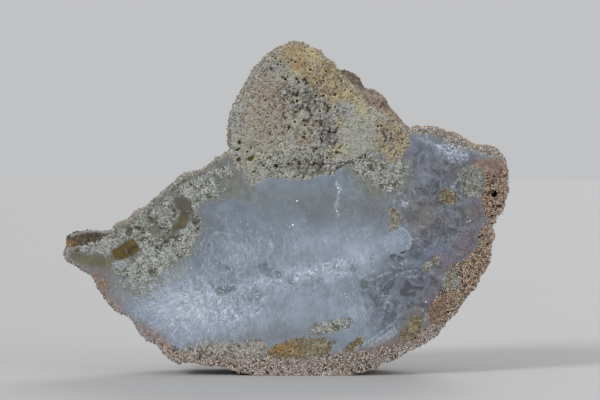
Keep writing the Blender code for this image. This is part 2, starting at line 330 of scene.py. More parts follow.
def waist(x, z):
    deep = WAIST + (FOOT - WAIST) * (1 - step(0.0, 0.024, z))
    return deep - 0.0022 * step(-0.040, -0.052, x)


def swelling(points):
    """The slow lumps of the CAD model's skin."""
    p = points - np.array([0.5 * U, FRONT, 0.0])
    a = np.array([noise.noise(q) for q in (p * 95.0).tolist()])
    b = np.array([noise.noise(q) for q in (p * 210.0 + np.array([3, 7, 1])).tolist()])
    return SWELL * (a + 0.6 * b)


def mesh_object(name, points, faces, smooth=True):
    mesh = bpy.data.meshes.new(name)
    points, faces = np.asarray(points, np.float32), np.asarray(faces, np.int32)
    mesh.vertices.add(len(points))
    mesh.vertices.foreach_set("co", points.ravel())
    mesh.loops.add(faces.size)
    mesh.loops.foreach_set("vertex_index", faces.ravel())
    mesh.polygons.add(len(faces))
    k = faces.shape[1]
    mesh.polygons.foreach_set("loop_start", np.arange(len(faces), dtype=np.int32) * k)
    mesh.update(calc_edges=True)
    mesh.validate()
    if smooth:
        mesh.shade_smooth()
    obj = bpy.data.objects.new(name, mesh)
    bpy.context.scene.collection.objects.link(obj)
    return obj


def put(obj, name, values):
    """A float or vector value on each vertex, for the material."""
    values = np.asarray(values, np.float32)
    kind = "FLOAT" if values.ndim == 1 else "FLOAT_VECTOR"
    layer = obj.data.attributes.new(name, kind, "POINT")
    layer.data.foreach_set("value" if values.ndim == 1 else "vector", values.ravel())


def triangulate(edge, inner):
    """Triangles over a closed outline and the points inside it, as indices into both lists joined."""
    n = len(edge)
    flat = [Vector(p) for p in np.concatenate([edge, inner]) * 1000]
    sides = [(i, (i + 1) % n) for i in range(n)]
    got, _, faces, sources, _, _ = geometry.delaunay_2d_cdt(flat, sides, [list(range(n))], 1, 1e-6)
    order = [s[0] if s else -1 for s in sources]
    return np.array([[order[i] for i in f] for f in faces if all(order[i] >= 0 for i in f)], np.int32)


# ---- the sawn face ---------------------------------------------------------------------------
def fine_places(face):
    """Where the face needs its closest points."""
    need = face.area(HUMP, 3, 0, 0)
    for name in MOSS:
        need = np.maximum(need, face.area(name, 3, 0, 0))
    for polygon in (RIGHT_RIM, BOTTOM, UPPER_BAND):
        need = np.maximum(need, face.area(polygon, 2, 0, 0))
    return need > 0.3


def face_points(edge):
    low, high = edge.min(0), edge.max(0)
    fine_space, broad_space = ((0.000222, 0.00036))
    outer = sheet(edge[::4])
    broad = spread(low, high, broad_space)
    fine = spread(low, high, fine_space)
    kept = []
    for points, want in ((broad, False), (fine, True)):
        points = points[inside(points, edge[::2])]
        marks = fine_places(Face(sheet(points)))
        points = points[marks == want]
        rng = np.random.default_rng(5)
        points = points + (rng.random(points.shape) - 0.5) * (fine_space * 0.35)
        kept.append(points)
    points = np.concatenate(kept)
    return points[(gap(sheet(points), sheet(edge[::2])) * U > 0.45 * fine_space) & inside(points, edge)]


def worms(points, size, seed):
    """Thin wandering threads: 1 along them."""
    n = smooth_noise(points, size, seed)
    return 1 - step(0.0, 0.30, np.abs(n))


def face_fields(p, in_mm):
    """Everything that varies over the sawn face: named values for the material, and how far each point is sunk in metres. `in_mm` is how far each point is from the outline."""
    f = Face(p)
    v = {}
    hump = f.area(HUMP, 0.8, 1.2, 1.2)
    moss_names = {n: f.area(n, 2.0, 2.2, 1.6) for n in MOSS}
    rim = f.area(RIGHT_RIM, 2.0, 2.5, 2.0)
    bottom = f.area(BOTTOM, 2.5, 1.5, 1.5)
    upper = f.area(UPPER_BAND, 2.5, 2.0, 1.5)
    v["hump"] = hump
    v["rim"] = rim
    v["bottom"] = bottom
    v["upper"] = upper

    def many(*names):
        out = np.zeros(len(p))
        for n in names:
            out = np.maximum(out, moss_names[n])
        return out

    window = f.area(WINDOW, 1.2, 0.8, 0.5)
    window2 = f.area([(150, 229), (157, 227), (163, 232), (160, 239), (152, 240)], 2.5, 2.0, 1.5)
    window3 = f.area([(170, 228), (177, 218), (183, 210), (191, 212), (188, 222), (182, 230), (173, 232)], 3.0, 1.5, 1.5)
    window_grey = f.area([(173, 200), (178, 195), (188, 197), (193, 204), (192, 213), (184, 217), (176, 211)], 3.5, 1.5, 1.5)
    green = f.area(TIP_GREEN, 4.0, 1.0, 1.0)
    v["window"] = np.clip(window + window2 * 0.55 + window3 * 0.7 * (1 - 0.6 * window_grey), 0, 1)
    v["window_grey"] = window_grey * (1 - hump)
    v["green"] = green
    left = many("strip", "wing", "low", "tip")
    left = left * (1 - window) * (1 - 0.7 * window2) * (1 - 0.85 * window3) * (1 - 0.95 * window_grey)
    v["moss"] = np.maximum(left, many("under", "knot_a", "shelf", "patch", "rim_patch"))
    soft = np.zeros(len(p))
    for name in ("strip", "wing", "low", "tip", "under", "knot_a", "shelf", "patch", "rim_patch"):
        wide = 4.5 if name in ("strip", "wing", "low", "under", "shelf") else 2.2
        soft = np.maximum(soft, f.area(name, wide, 3.2, 2.0))
    # a glassy margin without moss runs along the upper left edge
    upper_left = f.area([(104, 240), (108, 222), (150, 190), (190, 158), (232, 140), (250, 166), (236, 180), (196, 182), (150, 214), (124, 236)], 4, 2, 1)
    margin = upper_left * (1 - step(0.7, 2.1, in_mm + 0.22 * f.wide_wobble + 0.10 * f.fine_wobble - 0.5 * f.blob(186, 178, 14, 10)))
    v["margin"] = margin
    soft = soft * (1 - 0.92 * margin)
    soft = soft * (1 - 0.75 * f.area([(207, 166), (214, 158), (228, 150), (236, 160), (230, 178), (224, 190), (215, 186), (214, 176)], 4, 3, 2)
                   * (1 - f.blob(224, 173, 6, 6)))
    apron = f.area([(116, 272), (132, 276), (160, 276), (166, 284), (158, 293), (146, 299), (132, 300), (121, 290)], 5, 4, 2)
    soft = np.maximum(soft, 0.42 * apron)
    v["bunch"] = smooth_noise(p, 4.2, 51.0) * 0.7 + smooth_noise(p, 9.0, 52.0) * 0.5
    soft = soft * (1 - window) * (1 - 0.6 * window2) * (1 - 0.8 * window3) * (1 - 0.95 * window_grey)
    hollow = step(0.25, 0.75, -smooth_noise(p, 7.5, 53.0) - 0.5 * smooth_noise(p, 3.6, 54.0)
                  + 0.5 * f.blob(150, 252, 12, 5, -15) + 0.5 * f.blob(142, 228, 22, 7, -35) + 0.35 * f.blob(158, 244, 18, 8, -30) + 0.3 * f.blob(202, 190, 20, 4, -10)
                  + 0.9 * f.line([(138, 247), (146, 240), (156, 241), (166, 236), (177, 226)], 5.5, 1.5)
                  + 0.7 * f.line([(140, 228), (146, 233), (158, 232), (166, 222)], 4.5, 1.8) + 0.4 * f.blob(160, 212, 8, 4, -30) - 0.05)
    v["hollow"] = hollow
    v["inward"] = in_mm
    v["moss_soft"] = soft
    v["yellow_moss"] = many("knot_b", "knot_c", "knot_d", "knot_e", "tube")
    v["cream"] = many("knot_c", "tube")
    v["gold"] = moss_names["gold"]
    v["veil"] = np.clip(f.area([(472, 160), (484, 158), (498, 160), (503, 168), (502, 180), (496, 184), (488, 180), (482, 172), (474, 167)], 4, 3, 1.5), 0, 1)
    v["footing"] = np.clip(f.area([(170, 352), (262, 355), (300, 358), (345, 351), (368, 347), (384, 342), (404, 336), (420, 329), (437, 321), (443, 330), (404, 358), (330, 368), (200, 368)], 4, 2.5, 1.5), 0, 1) * (1 - 0.7 * moss_names["gold"])
    v["footing"] = np.maximum(v["footing"], f.area([(488, 149), (500, 151), (506, 165), (505, 185), (500, 195), (494, 185), (497, 170), (490, 158)], 3, 2, 1))
    v["shaded_foot"] = np.clip((p[:, 0] - 290) / 80, 0, 1) * bottom
    v["orange_moss"] = np.clip(1.3 * f.blob(284, 350, 17, 7), 0, 1)
    v["shelf"] = f.area([(175, 338), (262, 336), (272, 348), (262, 362), (175, 362)], 5, 3, 1)
    v["dendrite"] = moss_names["dendrite"]

    # threads of moss and the gaps between them, in three sizes
    warped = p + 1.6 * np.stack([smooth_noise(p, 5.0, 14.0), smooth_noise(p, 5.0, 15.0)], 1)
    threads = np.maximum(worms(warped, 5.2, 11.0), worms(warped + 3.7, 3.9, 12.0))
    threads = np.maximum(threads, 0.75 * worms(p, 2.6, 13.0))
    v["threads"] = threads
    v["open"] = np.clip(0.30 + 0.5 * f.blob(152, 255, 20, 9, -20) + 0.45 * f.blob(200, 192, 26, 7, -8) + 0.3 * f.blob(155, 222, 18, 10, -30)
                        + 0.25 * smooth_noise(p, 9, 25.0) + 0.4 * f.blob(472, 182, 12, 16)
                        - 0.35 * f.blob(380, 172, 24, 14) - 0.3 * f.blob(225, 350, 34, 8), 0, 1)
    v["left_moss"] = np.clip(f.area([(105, 236), (112, 226), (145, 204), (170, 188), (205, 164), (216, 160), (230, 168), (224, 195),
                                     (205, 206), (199, 220), (198, 244), (184, 262), (160, 277), (134, 288), (116, 272)], 5, 3, 1.5), 0, 1)

    # the hump: nodules with dark gaps between them where it is open, fine pores where it is dense
    cluster = np.clip(
        0.10 + 0.75 * f.blob(327, 133, 14, 19) + 0.65 * f.blob(301, 102, 24, 15) + 0.45 * f.blob(292, 91, 13, 10)
        + 0.45 * f.blob(300, 167, 50, 11) + 0.35 * f.blob(320, 165, 20, 13) + 0.22 * smooth_noise(p, 11, 21.0, 2)
        - 0.35 * f.blob(358, 137, 17, 22) - 0.15 * f.blob(250, 145, 14, 26) + 0.35 * f.blob(388, 140, 16, 20)
        + 0.25 * f.blob(330, 85, 20, 18) + 0.3 * rim + 0.25 * bottom, 0, 1)
    v["cluster"] = cluster
    # pale nodules with dark clefts between them, in the open middle of the hump
    core = np.clip(1.1 * f.blob(327, 134, 15, 20) + 1.0 * f.blob(302, 98, 16, 12) + 0.9 * f.blob(292, 86, 10, 9) + 0.8 * f.blob(320, 108, 12, 9)
                   + 0.8 * f.blob(318, 164, 20, 7) + 0.45 * f.blob(280, 168, 22, 7) + 0.6 * f.blob(386, 138, 10, 12)
                   + 0.35 * smooth_noise(p, 7.0, 61.0), 0, 1)
    bent = p + 1.8 * np.stack([smooth_noise(p, 4.1, 62.0), smooth_noise(p, 4.1, 63.0)], 1)
    n1, n2, nodule = cells(bent, 5.4, 8.0)
    cleft = 0.5 * (1 - step(0.02, 0.11, n2 - n1)) * step(0.35, 0.65, core) * step(-0.1, 0.4, smooth_noise(p, 6.0, 65.0))
    for line, wide in CLEFTS:
        cleft = np.maximum(cleft, f.line(line, wide * 1.1, 1.3) * (0.6 + 0.4 * step(-0.4, 0.3, f.wide_wobble)))
    v["cleft"] = cleft
    v["nodule"] = step(0.35, 0.65, core) * (0.45 + 0.55 * (1 - step(0.10, 0.60, n1))) * (1 - cleft)
    ring, dot = np.zeros(len(p)), np.zeros(len(p))
    for x, y, r in RING_PORES:
        r *= 0.85
        away = np.hypot(p[:, 0] - x, (p[:, 1] - y) * 1.15) + 1.1 * f.fine_wobble
        ring = np.maximum(ring, np.exp(-(((away - r) / (0.42 * r)) ** 2)))
        dot = np.maximum(dot, 1 - step(0.35 * r, 0.62 * r, away))
    rng = np.random.default_rng(31)
    for x, y, r in zip(rng.uniform(228, 412, 520), rng.uniform(40, 184, 520), rng.uniform(0.35, 0.95, 520)):
        near = (np.abs(p[:, 0] - x) < 2.5) & (np.abs(p[:, 1] - y) < 2.5)
        dot[near] = np.maximum(dot[near], 1 - step(0.6 * r, 1.1 * r, np.hypot(p[near, 0] - x, p[near, 1] - y)))
    v["ring"] = ring * hump
    v["dot"] = dot * hump * (1 - 0.8 * np.clip(f.blob(358, 137, 15, 20), 0, 1))
    warped = p + 1.3 * np.stack([smooth_noise(p, 3.3, 16.0), smooth_noise(p, 3.3, 17.0)], 1)
    f1, f2, number = cells(warped, 4.3, 1.0)
    crack = 1 - step(0.03, 0.24, f2 - f1)
    v["clump"] = np.clip(number, 0, 1)
    pore = -smooth_noise(warped, 2.3, 22.0) + 0.35 * smooth_noise(p, 6.5, 23.0)
    pore = step(0.42, 0.72, pore + 0.42 * cluster - 0.02)
    g1, g2, gnumber = cells(warped, 2.4, 2.0)
    small = (1 - step(0.16, 0.36, g1)) * step(0.50, 0.62, gnumber + cluster * 0.25)
    big1, _, bnumber = cells(warped, 8.0, 3.0)
    large = (1 - step(0.10, 0.24, big1)) * step(0.72, 0.80, bnumber + 0.35 * cluster)
    pits = np.clip(np.maximum(np.maximum(crack * step(0.35, 0.8, cluster), 0.8 * pore * step(0.1, 0.5, cluster)), np.maximum(0.6 * small, large)), 0, 1)
    pits *= 1 - 0.85 * np.clip(f.blob(358, 137, 15, 20) * 1.2, 0, 1)
    v["pits"] = pits

    c1, c2, cavity = cells(p + 1.2 * np.stack([smooth_noise(p, 2.6, 69.0), smooth_noise(p, 2.6, 70.0)], 1), 3.3, 9.0)
    hollowed = step(0.52, 0.60, cavity + 0.12 * smooth_noise(p, 8.0, 71.0)) * (1 - step(0.26, 0.50, c1))
    d1, _, cavity = cells(p, 1.9, 10.0)
    hollowed = np.maximum(hollowed, 0.8 * step(0.60, 0.68, cavity) * (1 - step(0.24, 0.46, d1)))
    v["cavity"] = hollowed * np.clip(rim + bottom + 0.7 * upper, 0, 1)

    # olive-floored pores low on the hump
    olive = np.zeros(len(p))
    for x, y, r in ((240, 143, 3.2), (239, 149, 2.4), (238, 160, 3.0), (251, 159, 3.6), (276, 166, 2.8), (254, 172, 2.2),
                    (300, 143, 2.2), (289, 128, 2.4), (296, 112, 2.0), (305, 134, 1.8)):
        olive = np.maximum(olive, 1 - step(r * 0.55, r * 1.1, np.hypot(p[:, 0] - x, (p[:, 1] - y) * 1.25) + 1.5 * f.fine_wobble))
    v["olive"] = olive

    # holes and voids
    def hole(x, y, rx, ry, turn=0.0, edge=0.25):
        a = math.radians(turn)
        dx, dy = p[:, 0] - x, p[:, 1] - y
        r = np.hypot((dx * math.cos(a) + dy * math.sin(a)) / rx, (-dx * math.sin(a) + dy * math.cos(a)) / ry)
        return 1 - step(1 - edge, 1 + edge, r + 0.12 * f.fine_wobble)
    # deep holes: sunk, and coloured near-black in the material as painted shade inside them
    black = np.maximum(hole(494.5, 194.5, 2.6, 3.6, 20), hole(497, 206, 4.2, 1.6, 8))
    black = np.maximum(black, hole(481.5, 196, 1.8, 1.3))
    v["black"] = black
    # a groove under the right of the hump: sunk, and painted dark as the shadow that falls in it
    shadowed_recess = f.line([(337, 169), (345, 163.5), (356, 160), (367, 155)], 2.4, 0.8)
    v["shadowed_recess"] = shadowed_recess
    voids = np.maximum(0.85 * hole(397, 259, 7.0, 4.4, 12, 0.2), hole(403, 253, 3.6, 1.2, -30))
    voids = np.maximum(voids, hole(403.5, 260, 1.6, 2.6, 30))
    glassy = np.zeros(len(p))
    for polygon, much in GLASSY:
        glassy = np.maximum(glassy, much * f.area(polygon, 0.9 if much > 0.5 else 2.2, 0.5, 0.6))
    v["glassy"] = glassy
    grey_voids = 1.0 * hole(364, 285, 5.0, 5.6, 0, 0.25)
    grey_voids = np.maximum(grey_voids, 0.6 * hole(378, 286, 4.5, 4, 10, 0.6))
    grey_voids = np.maximum(grey_voids, 0.65 * hole(386, 297, 4.2, 4.2, 10, 0.5))
    grey_voids = np.maximum(grey_voids, 0.7 * hole(352, 268, 2.0, 3.5, 10, 0.4))
    grey_voids = np.maximum(grey_voids, 0.6 * hole(411, 275, 7, 2.5, 15, 0.7))
    grey_voids = np.maximum(grey_voids, 0.5 * hole(248, 299, 3, 3, 0, 0.6))
    grey_voids = np.maximum(grey_voids, 0.7 * hole(355, 268, 2.5, 5, 10, 0.5))
    grey_voids = np.maximum(grey_voids, 0.6 * hole(372, 258, 3, 6, 0, 0.6))
    grey_voids = np.maximum(grey_voids, 0.6 * hole(336, 268, 4, 4.5, 0, 0.5))
    v["voids"] = np.clip(grey_voids + voids, 0, 1)
    # how light the chalcedony is
    tone = 0.52 + 0.0 * p[:, 0]
    tone += 0.30 * f.blob(178, 310, 40, 25, 12)
    tone += 0.12 * f.blob(235, 322, 50, 20, 3)
    seam_gap = gap(p, np.array(SEAM, float), closed=False) + 3.0 * f.wide_wobble
    v_seam = np.exp(-((seam_gap / 9.0) ** 2)) * step(175, 205, p[:, 0]) * (1 - step(350, 385, p[:, 0]))
    tone += 0.12 * v_seam
    tone += 0.12 * f.blob(330, 240, 60, 22)
    tone -= 0.08 * f.blob(290, 200, 60, 22)
    tone -= 0.05 * f.blob(195, 250, 30, 30)
    tone -= 0.12 * f.blob(215, 222, 24, 14)
    tone -= 0.38 * f.blob(445, 200, 42, 62)
    tone -= 0.32 * f.blob(420, 285, 42, 36)
    tone -= 0.12 * f.blob(340, 212, 50, 20)
    tone += 0.10 * f.blob(240, 254, 12, 10)
    tone -= 0.10 * f.blob(200, 245, 10, 14, 30)
    tone += 0.14 * f.blob(368, 250, 24, 16) + 0.10 * f.blob(398, 242, 10, 10)
    tone += 0.12 * f.blob(372, 272, 16, 5, -8)
    tone -= 0.16 * f.blob(384, 290, 16, 9, 10)
    tone -= 0.18 * f.blob(415, 276, 14, 6, 15)
    tone += 0.12 * f.blob(365, 308, 26, 12, -20)
    tone += 0.10 * f.blob(275, 312, 50, 20) + 0.11 * f.blob(300, 272, 60, 16) + 0.07 * f.blob(330, 304, 34, 18) + 0.05 * f.blob(295, 195, 45, 14)
    tone -= 0.10 * f.blob(103, 273, 13, 9) + 0.04 * f.blob(130, 300, 14, 14)
    lobe = f.area(LOBE, 1.2, 0.8, 0.8)
    lens = f.area(LENS, 1.5, 0.8, 0.6)
    lath = f.area(LATH, 1.5, 0.3, 0.5)
    v["lobe"] = lobe
    v["lens"] = lens
    tone += 0.05 * lobe + 0.14 * lath
    v["tone"] = np.clip(tone, 0, 1)
    v["seam"] = v_seam

    # the way the quartz fibres run: across from the seam, and fanned round its ends
    line = np.array(SEAM, float)
    best, s_at, d_at = np.full(len(p), 1e9), np.zeros(len(p)), np.zeros(len(p))
    run = 0.0
    for a, b in zip(line, line[1:]):
        side = b - a
        span = np.linalg.norm(side)
        t_raw = ((p - a) @ side) / (side @ side)
        t = np.clip(t_raw, 0, 1)
        w = p - a - t[:, None] * side
        d = np.linalg.norm(w, axis=1)
        sign = np.sign(side[0] * (p[:, 1] - a[1]) - side[1] * (p[:, 0] - a[0]))
        angle = np.arctan2((w @ side) / span, np.abs(w @ np.array([side[1], -side[0]])) / span)
        closer = d < best - 1e-9
        s_here = run + t * span + angle * 16.0
        s_at = np.where(closer, s_here, s_at)
        d_at = np.where(closer, d * np.where(sign == 0, 1, sign), d_at)
        best = np.where(closer, d, best)
        run += span
    v["flow"] = np.stack([s_at * 0.26, d_at * 0.26, np.full(len(p), 0.0)], 1)
    def fan(x, y, lay):
        """Places round a point: along the ray or round the ring, in millimetres."""
        dx, dy = p[:, 0] - x, p[:, 1] - y
        r, turn = np.hypot(dx, dy), np.arctan2(dy, -dx if lay == "ray" else dx)
        if lay == "ray":
            return np.stack([turn * 5.0, r * 0.26, np.full(len(p), 3.0)], 1)
        r = r + 3.5 * smooth_noise(p, 11.0, 26.0) + 2.0 * smooth_noise(p, 5.0, 27.0)
        return np.stack([r * 0.26, turn * 5.5, np.full(len(p), 6.0)], 1)
    v["rays"] = fan(207, 292, "ray")
    v["arcs"] = fan(224, 262, "ring")
    v["low_rays"] = fan(232, 250, "ring")[:, [1, 0, 2]]
    v["ray_part"] = np.clip(1.25 * f.blob(172, 303, 34, 27, 10) + 0.5 * f.blob(195, 322, 26, 14, 0), 0, 1)
    v["arc_part"] = np.clip(1.2 * f.blob(222, 250, 30, 24, 0) * (0.55 + 0.7 * smooth_noise(p, 7, 28.0)), 0, 1)
    fibres = np.clip(0.12 + 0.55 * f.blob(230, 318, 40, 20, -5) + 0.40 * f.blob(275, 250, 40, 28) + 0.5 * f.blob(368, 308, 30, 20)
                     + 0.25 * v_seam - 0.3 * f.blob(300, 205, 60, 20), 0, 1) * (1 - 0.7 * v["arc_part"])
    v["fibres"] = fibres
    belt = [(184, 286), (198, 277), (214, 284), (232, 289), (248, 284), (262, 279), (276, 274), (292, 270), (308, 269),
            (330, 261), (346, 261), (352, 272), (338, 280), (320, 284), (302, 286), (285, 292), (270, 298), (260, 310),
            (252, 322), (236, 328), (218, 326), (203, 319), (192, 309), (183, 299)]
    v["sugar"] = np.clip(f.area(belt, 7, 5, 2) * (0.75 + 0.35 * smooth_noise(p, 9, 24.0)), 0, 1)

    # blue bands round the eye at the upper left
    eye = gap(p, np.array([(196, 220), (201, 212), (208, 206), (215, 202), (222, 201), (229, 202), (236, 205), (241, 209)], float), closed=False)
    inner = np.hypot((p[:, 0] - 221) / 1.25, p[:, 1] - 232)
    v["band"] = np.clip((1 - step(0, 6.5, eye + 0.8 * f.fine_wobble)), 0, 1)
    v["band_at"] = inner * 0.26

    # clouds of colour
    v["smoky"] = np.clip(1.15 * f.area([(395, 150), (420, 145), (455, 155), (500, 170), (490, 215), (478, 250), (450, 275),
                                        (440, 300), (425, 330), (385, 335), (360, 300), (375, 280), (410, 265),
                                        (415, 240), (400, 215), (400, 190)], 14, 4, 1), 0, 1)
    v["brown"] = np.clip(f.blob(424, 215, 17, 17, 20) * 0.9 + f.blob(473, 214, 12, 8) * 0.9 + f.blob(462, 175, 8, 9) * 0.8
                         + 0.45 * f.blob(375, 205, 16, 14) + 0.3 * f.blob(330, 210, 30, 16) + 0.5 * f.blob(400, 175, 10, 10) + 0.55 * f.blob(98, 270, 14, 6, 40) + 0.4 * f.blob(112, 278, 12, 8, 40), 0, 1)
    v["mauve"] = np.clip(0.55 * f.line([(478, 205), (476, 225), (466, 245), (448, 258), (440, 280), (430, 300)], 16, 2) + f.blob(487, 166, 15, 7, 5) * 1.1 + 0.5 * f.blob(450, 165, 20, 8) + 0.5 * f.blob(470, 240, 12, 14)
                        + 0.6 * f.blob(400, 152, 10, 8) + 0.5 * f.blob(446, 262, 8, 10), 0, 1)
    v["rust"] = np.clip(f.blob(500, 168, 10, 10) * 1.0 + f.blob(158, 340, 10, 6, 25) * 1.2 + f.blob(146, 331, 9, 5, 45) * 1.1
                        + f.blob(104, 284, 11, 6.0, 50) * 1.1 + f.blob(96, 277, 7, 3.5, 50) * 0.9 + f.blob(118, 307, 8, 3, 45) * 0.8
                        + f.blob(132, 320, 8, 2.5, 40) * 0.6 + 0.3 * f.blob(436, 310, 7, 12)
                        + 0.6 * f.blob(463, 252, 4, 5) + 0.5 * f.blob(487, 190, 6, 20) + 0.6 * f.blob(196, 364, 26, 4)
                        + 0.5 * f.blob(445, 131, 10, 4) + 0.7 * f.blob(299, 66, 6, 5), 0, 1)
    v["lilac"] = np.clip(f.blob(185, 328, 22, 12, 10) * 0.7 + f.blob(347, 109, 10, 8) * 1.0 + f.blob(122, 298, 14, 14, 40) * 0.55
                         + f.blob(268, 64, 14, 8) * 0.5 + f.blob(168, 350, 9, 8) * 0.2, 0, 1)
    v["white"] = np.clip(1.25 * f.area([(437, 144), (446, 143), (456, 147), (467, 151), (470, 158), (461, 162), (450, 161), (441, 155)], 3, 3, 2) * (0.55 + 0.6 * smooth_noise(p, 2.2, 64.0))
                         + f.blob(428, 142, 11, 1.8, 25) * 0.55 + f.blob(480, 153, 10, 2.2, 18) * 0.3 + f.blob(405, 203, 4.0, 3.4) * 0.95
                         + 0.50 * f.line([(336, 182), (340, 188), (339, 194), (337, 202), (336, 208), (338, 215)], 2.6, 1.2)
                         + 0.55 * f.line([(331, 262), (337, 259), (343, 264), (344, 272), (338, 277)], 1.8, 0.8)
                         + 0.55 * f.line([(400, 227), (408, 232), (412, 240), (408, 248), (401, 253), (394, 255)], 1.5, 0.7)
                         + 0.50 * f.line([(358, 276), (363, 279), (371, 280), (380, 276), (391, 272)], 1.7, 0.7)
                         + 0.35 * f.line([(390, 279), (398, 275), (406, 272), (416, 270)], 1.5, 0.5)
                         + 0.35 * f.line([(388, 263), (394, 267), (401, 268), (408, 263), (404, 256)], 1.6, 0.6)
                         + 0.30 * f.line([(361, 292), (362, 306), (365, 318)], 1.8, 0.9)
                         + 0.30 * f.line([(382, 290), (384, 300), (391, 304)], 1.5, 0.8)
                         + 0.30 * f.line([(352, 236), (356, 230), (362, 228), (372, 230)], 2.2, 1.2)
                         + 0.42 * f.line([(394, 203), (395, 196), (400, 193), (405, 197)], 1.5, 0.5)
                         + 0.42 * f.line([(453, 196), (452, 188), (456, 182), (462, 176)], 1.8, 0.5)
                         + 0.42 * f.line([(452, 186), (458, 194), (463, 199)], 2.0, 0.4)
                         + 0.55 * f.line([(364, 345), (378, 335), (396, 321)], 1.5, 0.3)
                         + 0.25 * f.line([(368, 347), (382, 337), (396, 328)], 1.3, 0.3) + 0.3 * lath
                         + 0.30 * f.line([(407, 312), (417, 306), (427, 314), (437, 326)], 1.3, 0.4)
                         + 0.30 * f.line([(382, 318), (386, 306), (389, 296)], 1.6, 1.0) + 0.25 * f.line([(398, 316), (400, 306)], 1.6, 1.0)
                         + 0.25 * f.line([(405, 262), (420, 262), (436, 276), (446, 280)], 2.0, 1.6)
                         + 0.25 * f.line([(404, 280), (416, 272), (430, 282)], 1.8, 1.4)
                         + 0.30 * f.line([(200, 246), (206, 238), (214, 233), (222, 232), (232, 235)], 1.5, 0.9)
                         + 0.25 * f.line([(219, 217), (226, 224), (230, 232)], 1.5, 0.6)
                         + 0.60 * f.line([(215, 257), (221, 263), (229, 272)], 1.2, 0.3)
                         + 0.45 * f.line([(203, 268), (209, 273), (214, 281)], 1.4, 0.6)
                         + 0.45 * f.line([(196, 277), (203, 280), (210, 285)], 1.4, 0.6)
                         + 0.40 * f.line([(208, 288), (212, 284), (215, 280)], 1.4, 0.6)
                         + 0.50 * f.line([(227, 289), (233, 284), (240, 287), (246, 283)], 1.5, 0.7)
                         + 0.50 * f.line([(253, 286), (260, 281), (266, 284), (272, 280)], 1.6, 0.9)
                         + 0.35 * f.line([(170, 300), (178, 303), (188, 305), (196, 303)], 1.6, 0.8)
                         + 0.35 * f.line([(172, 308), (180, 309), (190, 309)], 1.5, 0.8)
                         + 0.30 * f.line([(180, 290), (187, 297), (192, 303)], 1.4, 0.8)
                         + 0.30 * f.line([(258, 238), (259, 248), (257, 258)], 1.4, 0.8)
                         + 0.55 * f.line([(211, 289), (213, 293), (218, 297), (226, 297), (234, 294), (240, 289)], 1.3, 0.7)
                         + 0.55 * f.line([(261, 285), (266, 280), (270, 278), (276, 282), (281, 279)], 1.5, 0.8)
                         + 0.45 * f.line([(263, 287), (270, 283), (276, 286)], 1.6, 0.9) + 0.5 * f.line([(208, 286), (213, 288), (217, 285)], 1.4, 0.8)
                         + 0.40 * f.line([(203, 283), (208, 286), (212, 290)], 1.4, 0.8) + 0.4 * f.line([(176, 305), (182, 306), (190, 305)], 1.4, 0.6)
                         + 0.40 * f.line([(213, 300), (216, 304), (214, 308)], 2.0, 1.0) + 0.35 * f.line([(186, 310), (192, 316), (200, 318)], 1.6, 1.0)
                         + 0.35 * f.line([(235, 313), (237, 319), (235, 323)], 1.5, 0.8) + 0.3 * f.line([(200, 318), (205, 312), (208, 306)], 1.3, 0.8)
                         + 0.30 * f.line([(205, 325), (210, 318), (214, 312)], 1.3, 0.8) + 0.3 * f.line([(224, 300), (230, 306), (228, 313)], 1.3, 0.8)
                         + 0.30 * f.line([(240, 300), (245, 306), (243, 313)], 1.3, 0.8) + 0.35 * f.line([(245, 259), (252, 261), (256, 257)], 1.3, 0.6)
                         + 0.30 * f.line([(205, 252), (208, 243), (214, 236), (221, 232)], 1.2, 0.5) + 0.25 * f.line([(222, 236), (226, 243), (234, 246)], 1.2, 0.6)
                         + 0.30 * f.line([(246, 238), (252, 248), (257, 257)], 1.1, 0.5) + 0.35 * f.line([(272, 243), (272, 252), (274, 258)], 1.4, 0.7)
                         + 0.25 * f.line([(236, 236), (243, 245), (249, 256)], 1.4, 0.8)
                         + 0.25 * f.line([(205, 252), (214, 248), (224, 247), (233, 250)], 1.4, 0.9)
                         + 0.30 * f.line([(232, 262), (238, 268), (246, 266)], 1.5, 0.8)
                         + 0.30 * f.line([(264, 262), (270, 250), (271, 240)], 1.8, 1.0)
                         + 0.8 * f.blob(118, 264, 4, 3), 0, 1)
    v["white"] *= 1 - 0.85 * np.clip(glassy * 1.3, 0, 1)
    v["warm"] = np.clip(f.area([(66, 255), (85, 262), (112, 268), (122, 282), (128, 296), (118, 306), (104, 300), (90, 284), (72, 266)], 7, 3, 1.5)
                        + 0.9 * lens + 0.5 * f.blob(390, 345, 30, 6) + 0.7 * f.blob(278, 332, 30, 8) + 0.4 * f.blob(245, 338, 30, 5) + 0.5 * f.blob(155, 337, 14, 9) + 0.3 * f.blob(128, 302, 16, 16, 40) + 0.45 * v["left_moss"], 0, 1)
    v["drab"] = np.clip(f.area([(108, 238), (120, 228), (150, 208), (172, 190), (196, 178), (205, 196), (196, 214), (194, 234), (176, 250),
                                (150, 262), (120, 268), (104, 256)], 6, 3, 1.5) + 0.8 * f.blob(96, 258, 24, 9, 5), 0, 1)
    v["haze"] = np.clip(f.area([(116, 280), (135, 285), (150, 282), (166, 272), (182, 262), (190, 268), (176, 282), (160, 294), (140, 302), (122, 298)], 7, 4, 2), 0, 1)
    v["shaded"] = np.clip(f.area([(208, 160), (232, 146), (240, 168), (252, 188), (248, 200), (226, 199), (214, 202), (203, 204), (214, 186), (216, 172)], 6, 3, 1.5)
                          + f.area([(338, 166), (366, 148), (392, 156), (412, 160), (414, 182), (404, 196), (390, 200), (372, 196), (352, 182)], 6, 3, 1.5), 0, 1)
    v["greenish"] = np.clip(f.blob(236, 178, 14, 14) * 1.0 + f.blob(250, 196, 26, 10) * 0.6 + f.blob(200, 222, 9, 22, 15) * 0.6
                            + f.blob(105, 272, 16, 8) * 0.4 + f.blob(340, 205, 45, 20) * 0.25 + 0.30 * f.blob(295, 192, 45, 12), 0, 1)
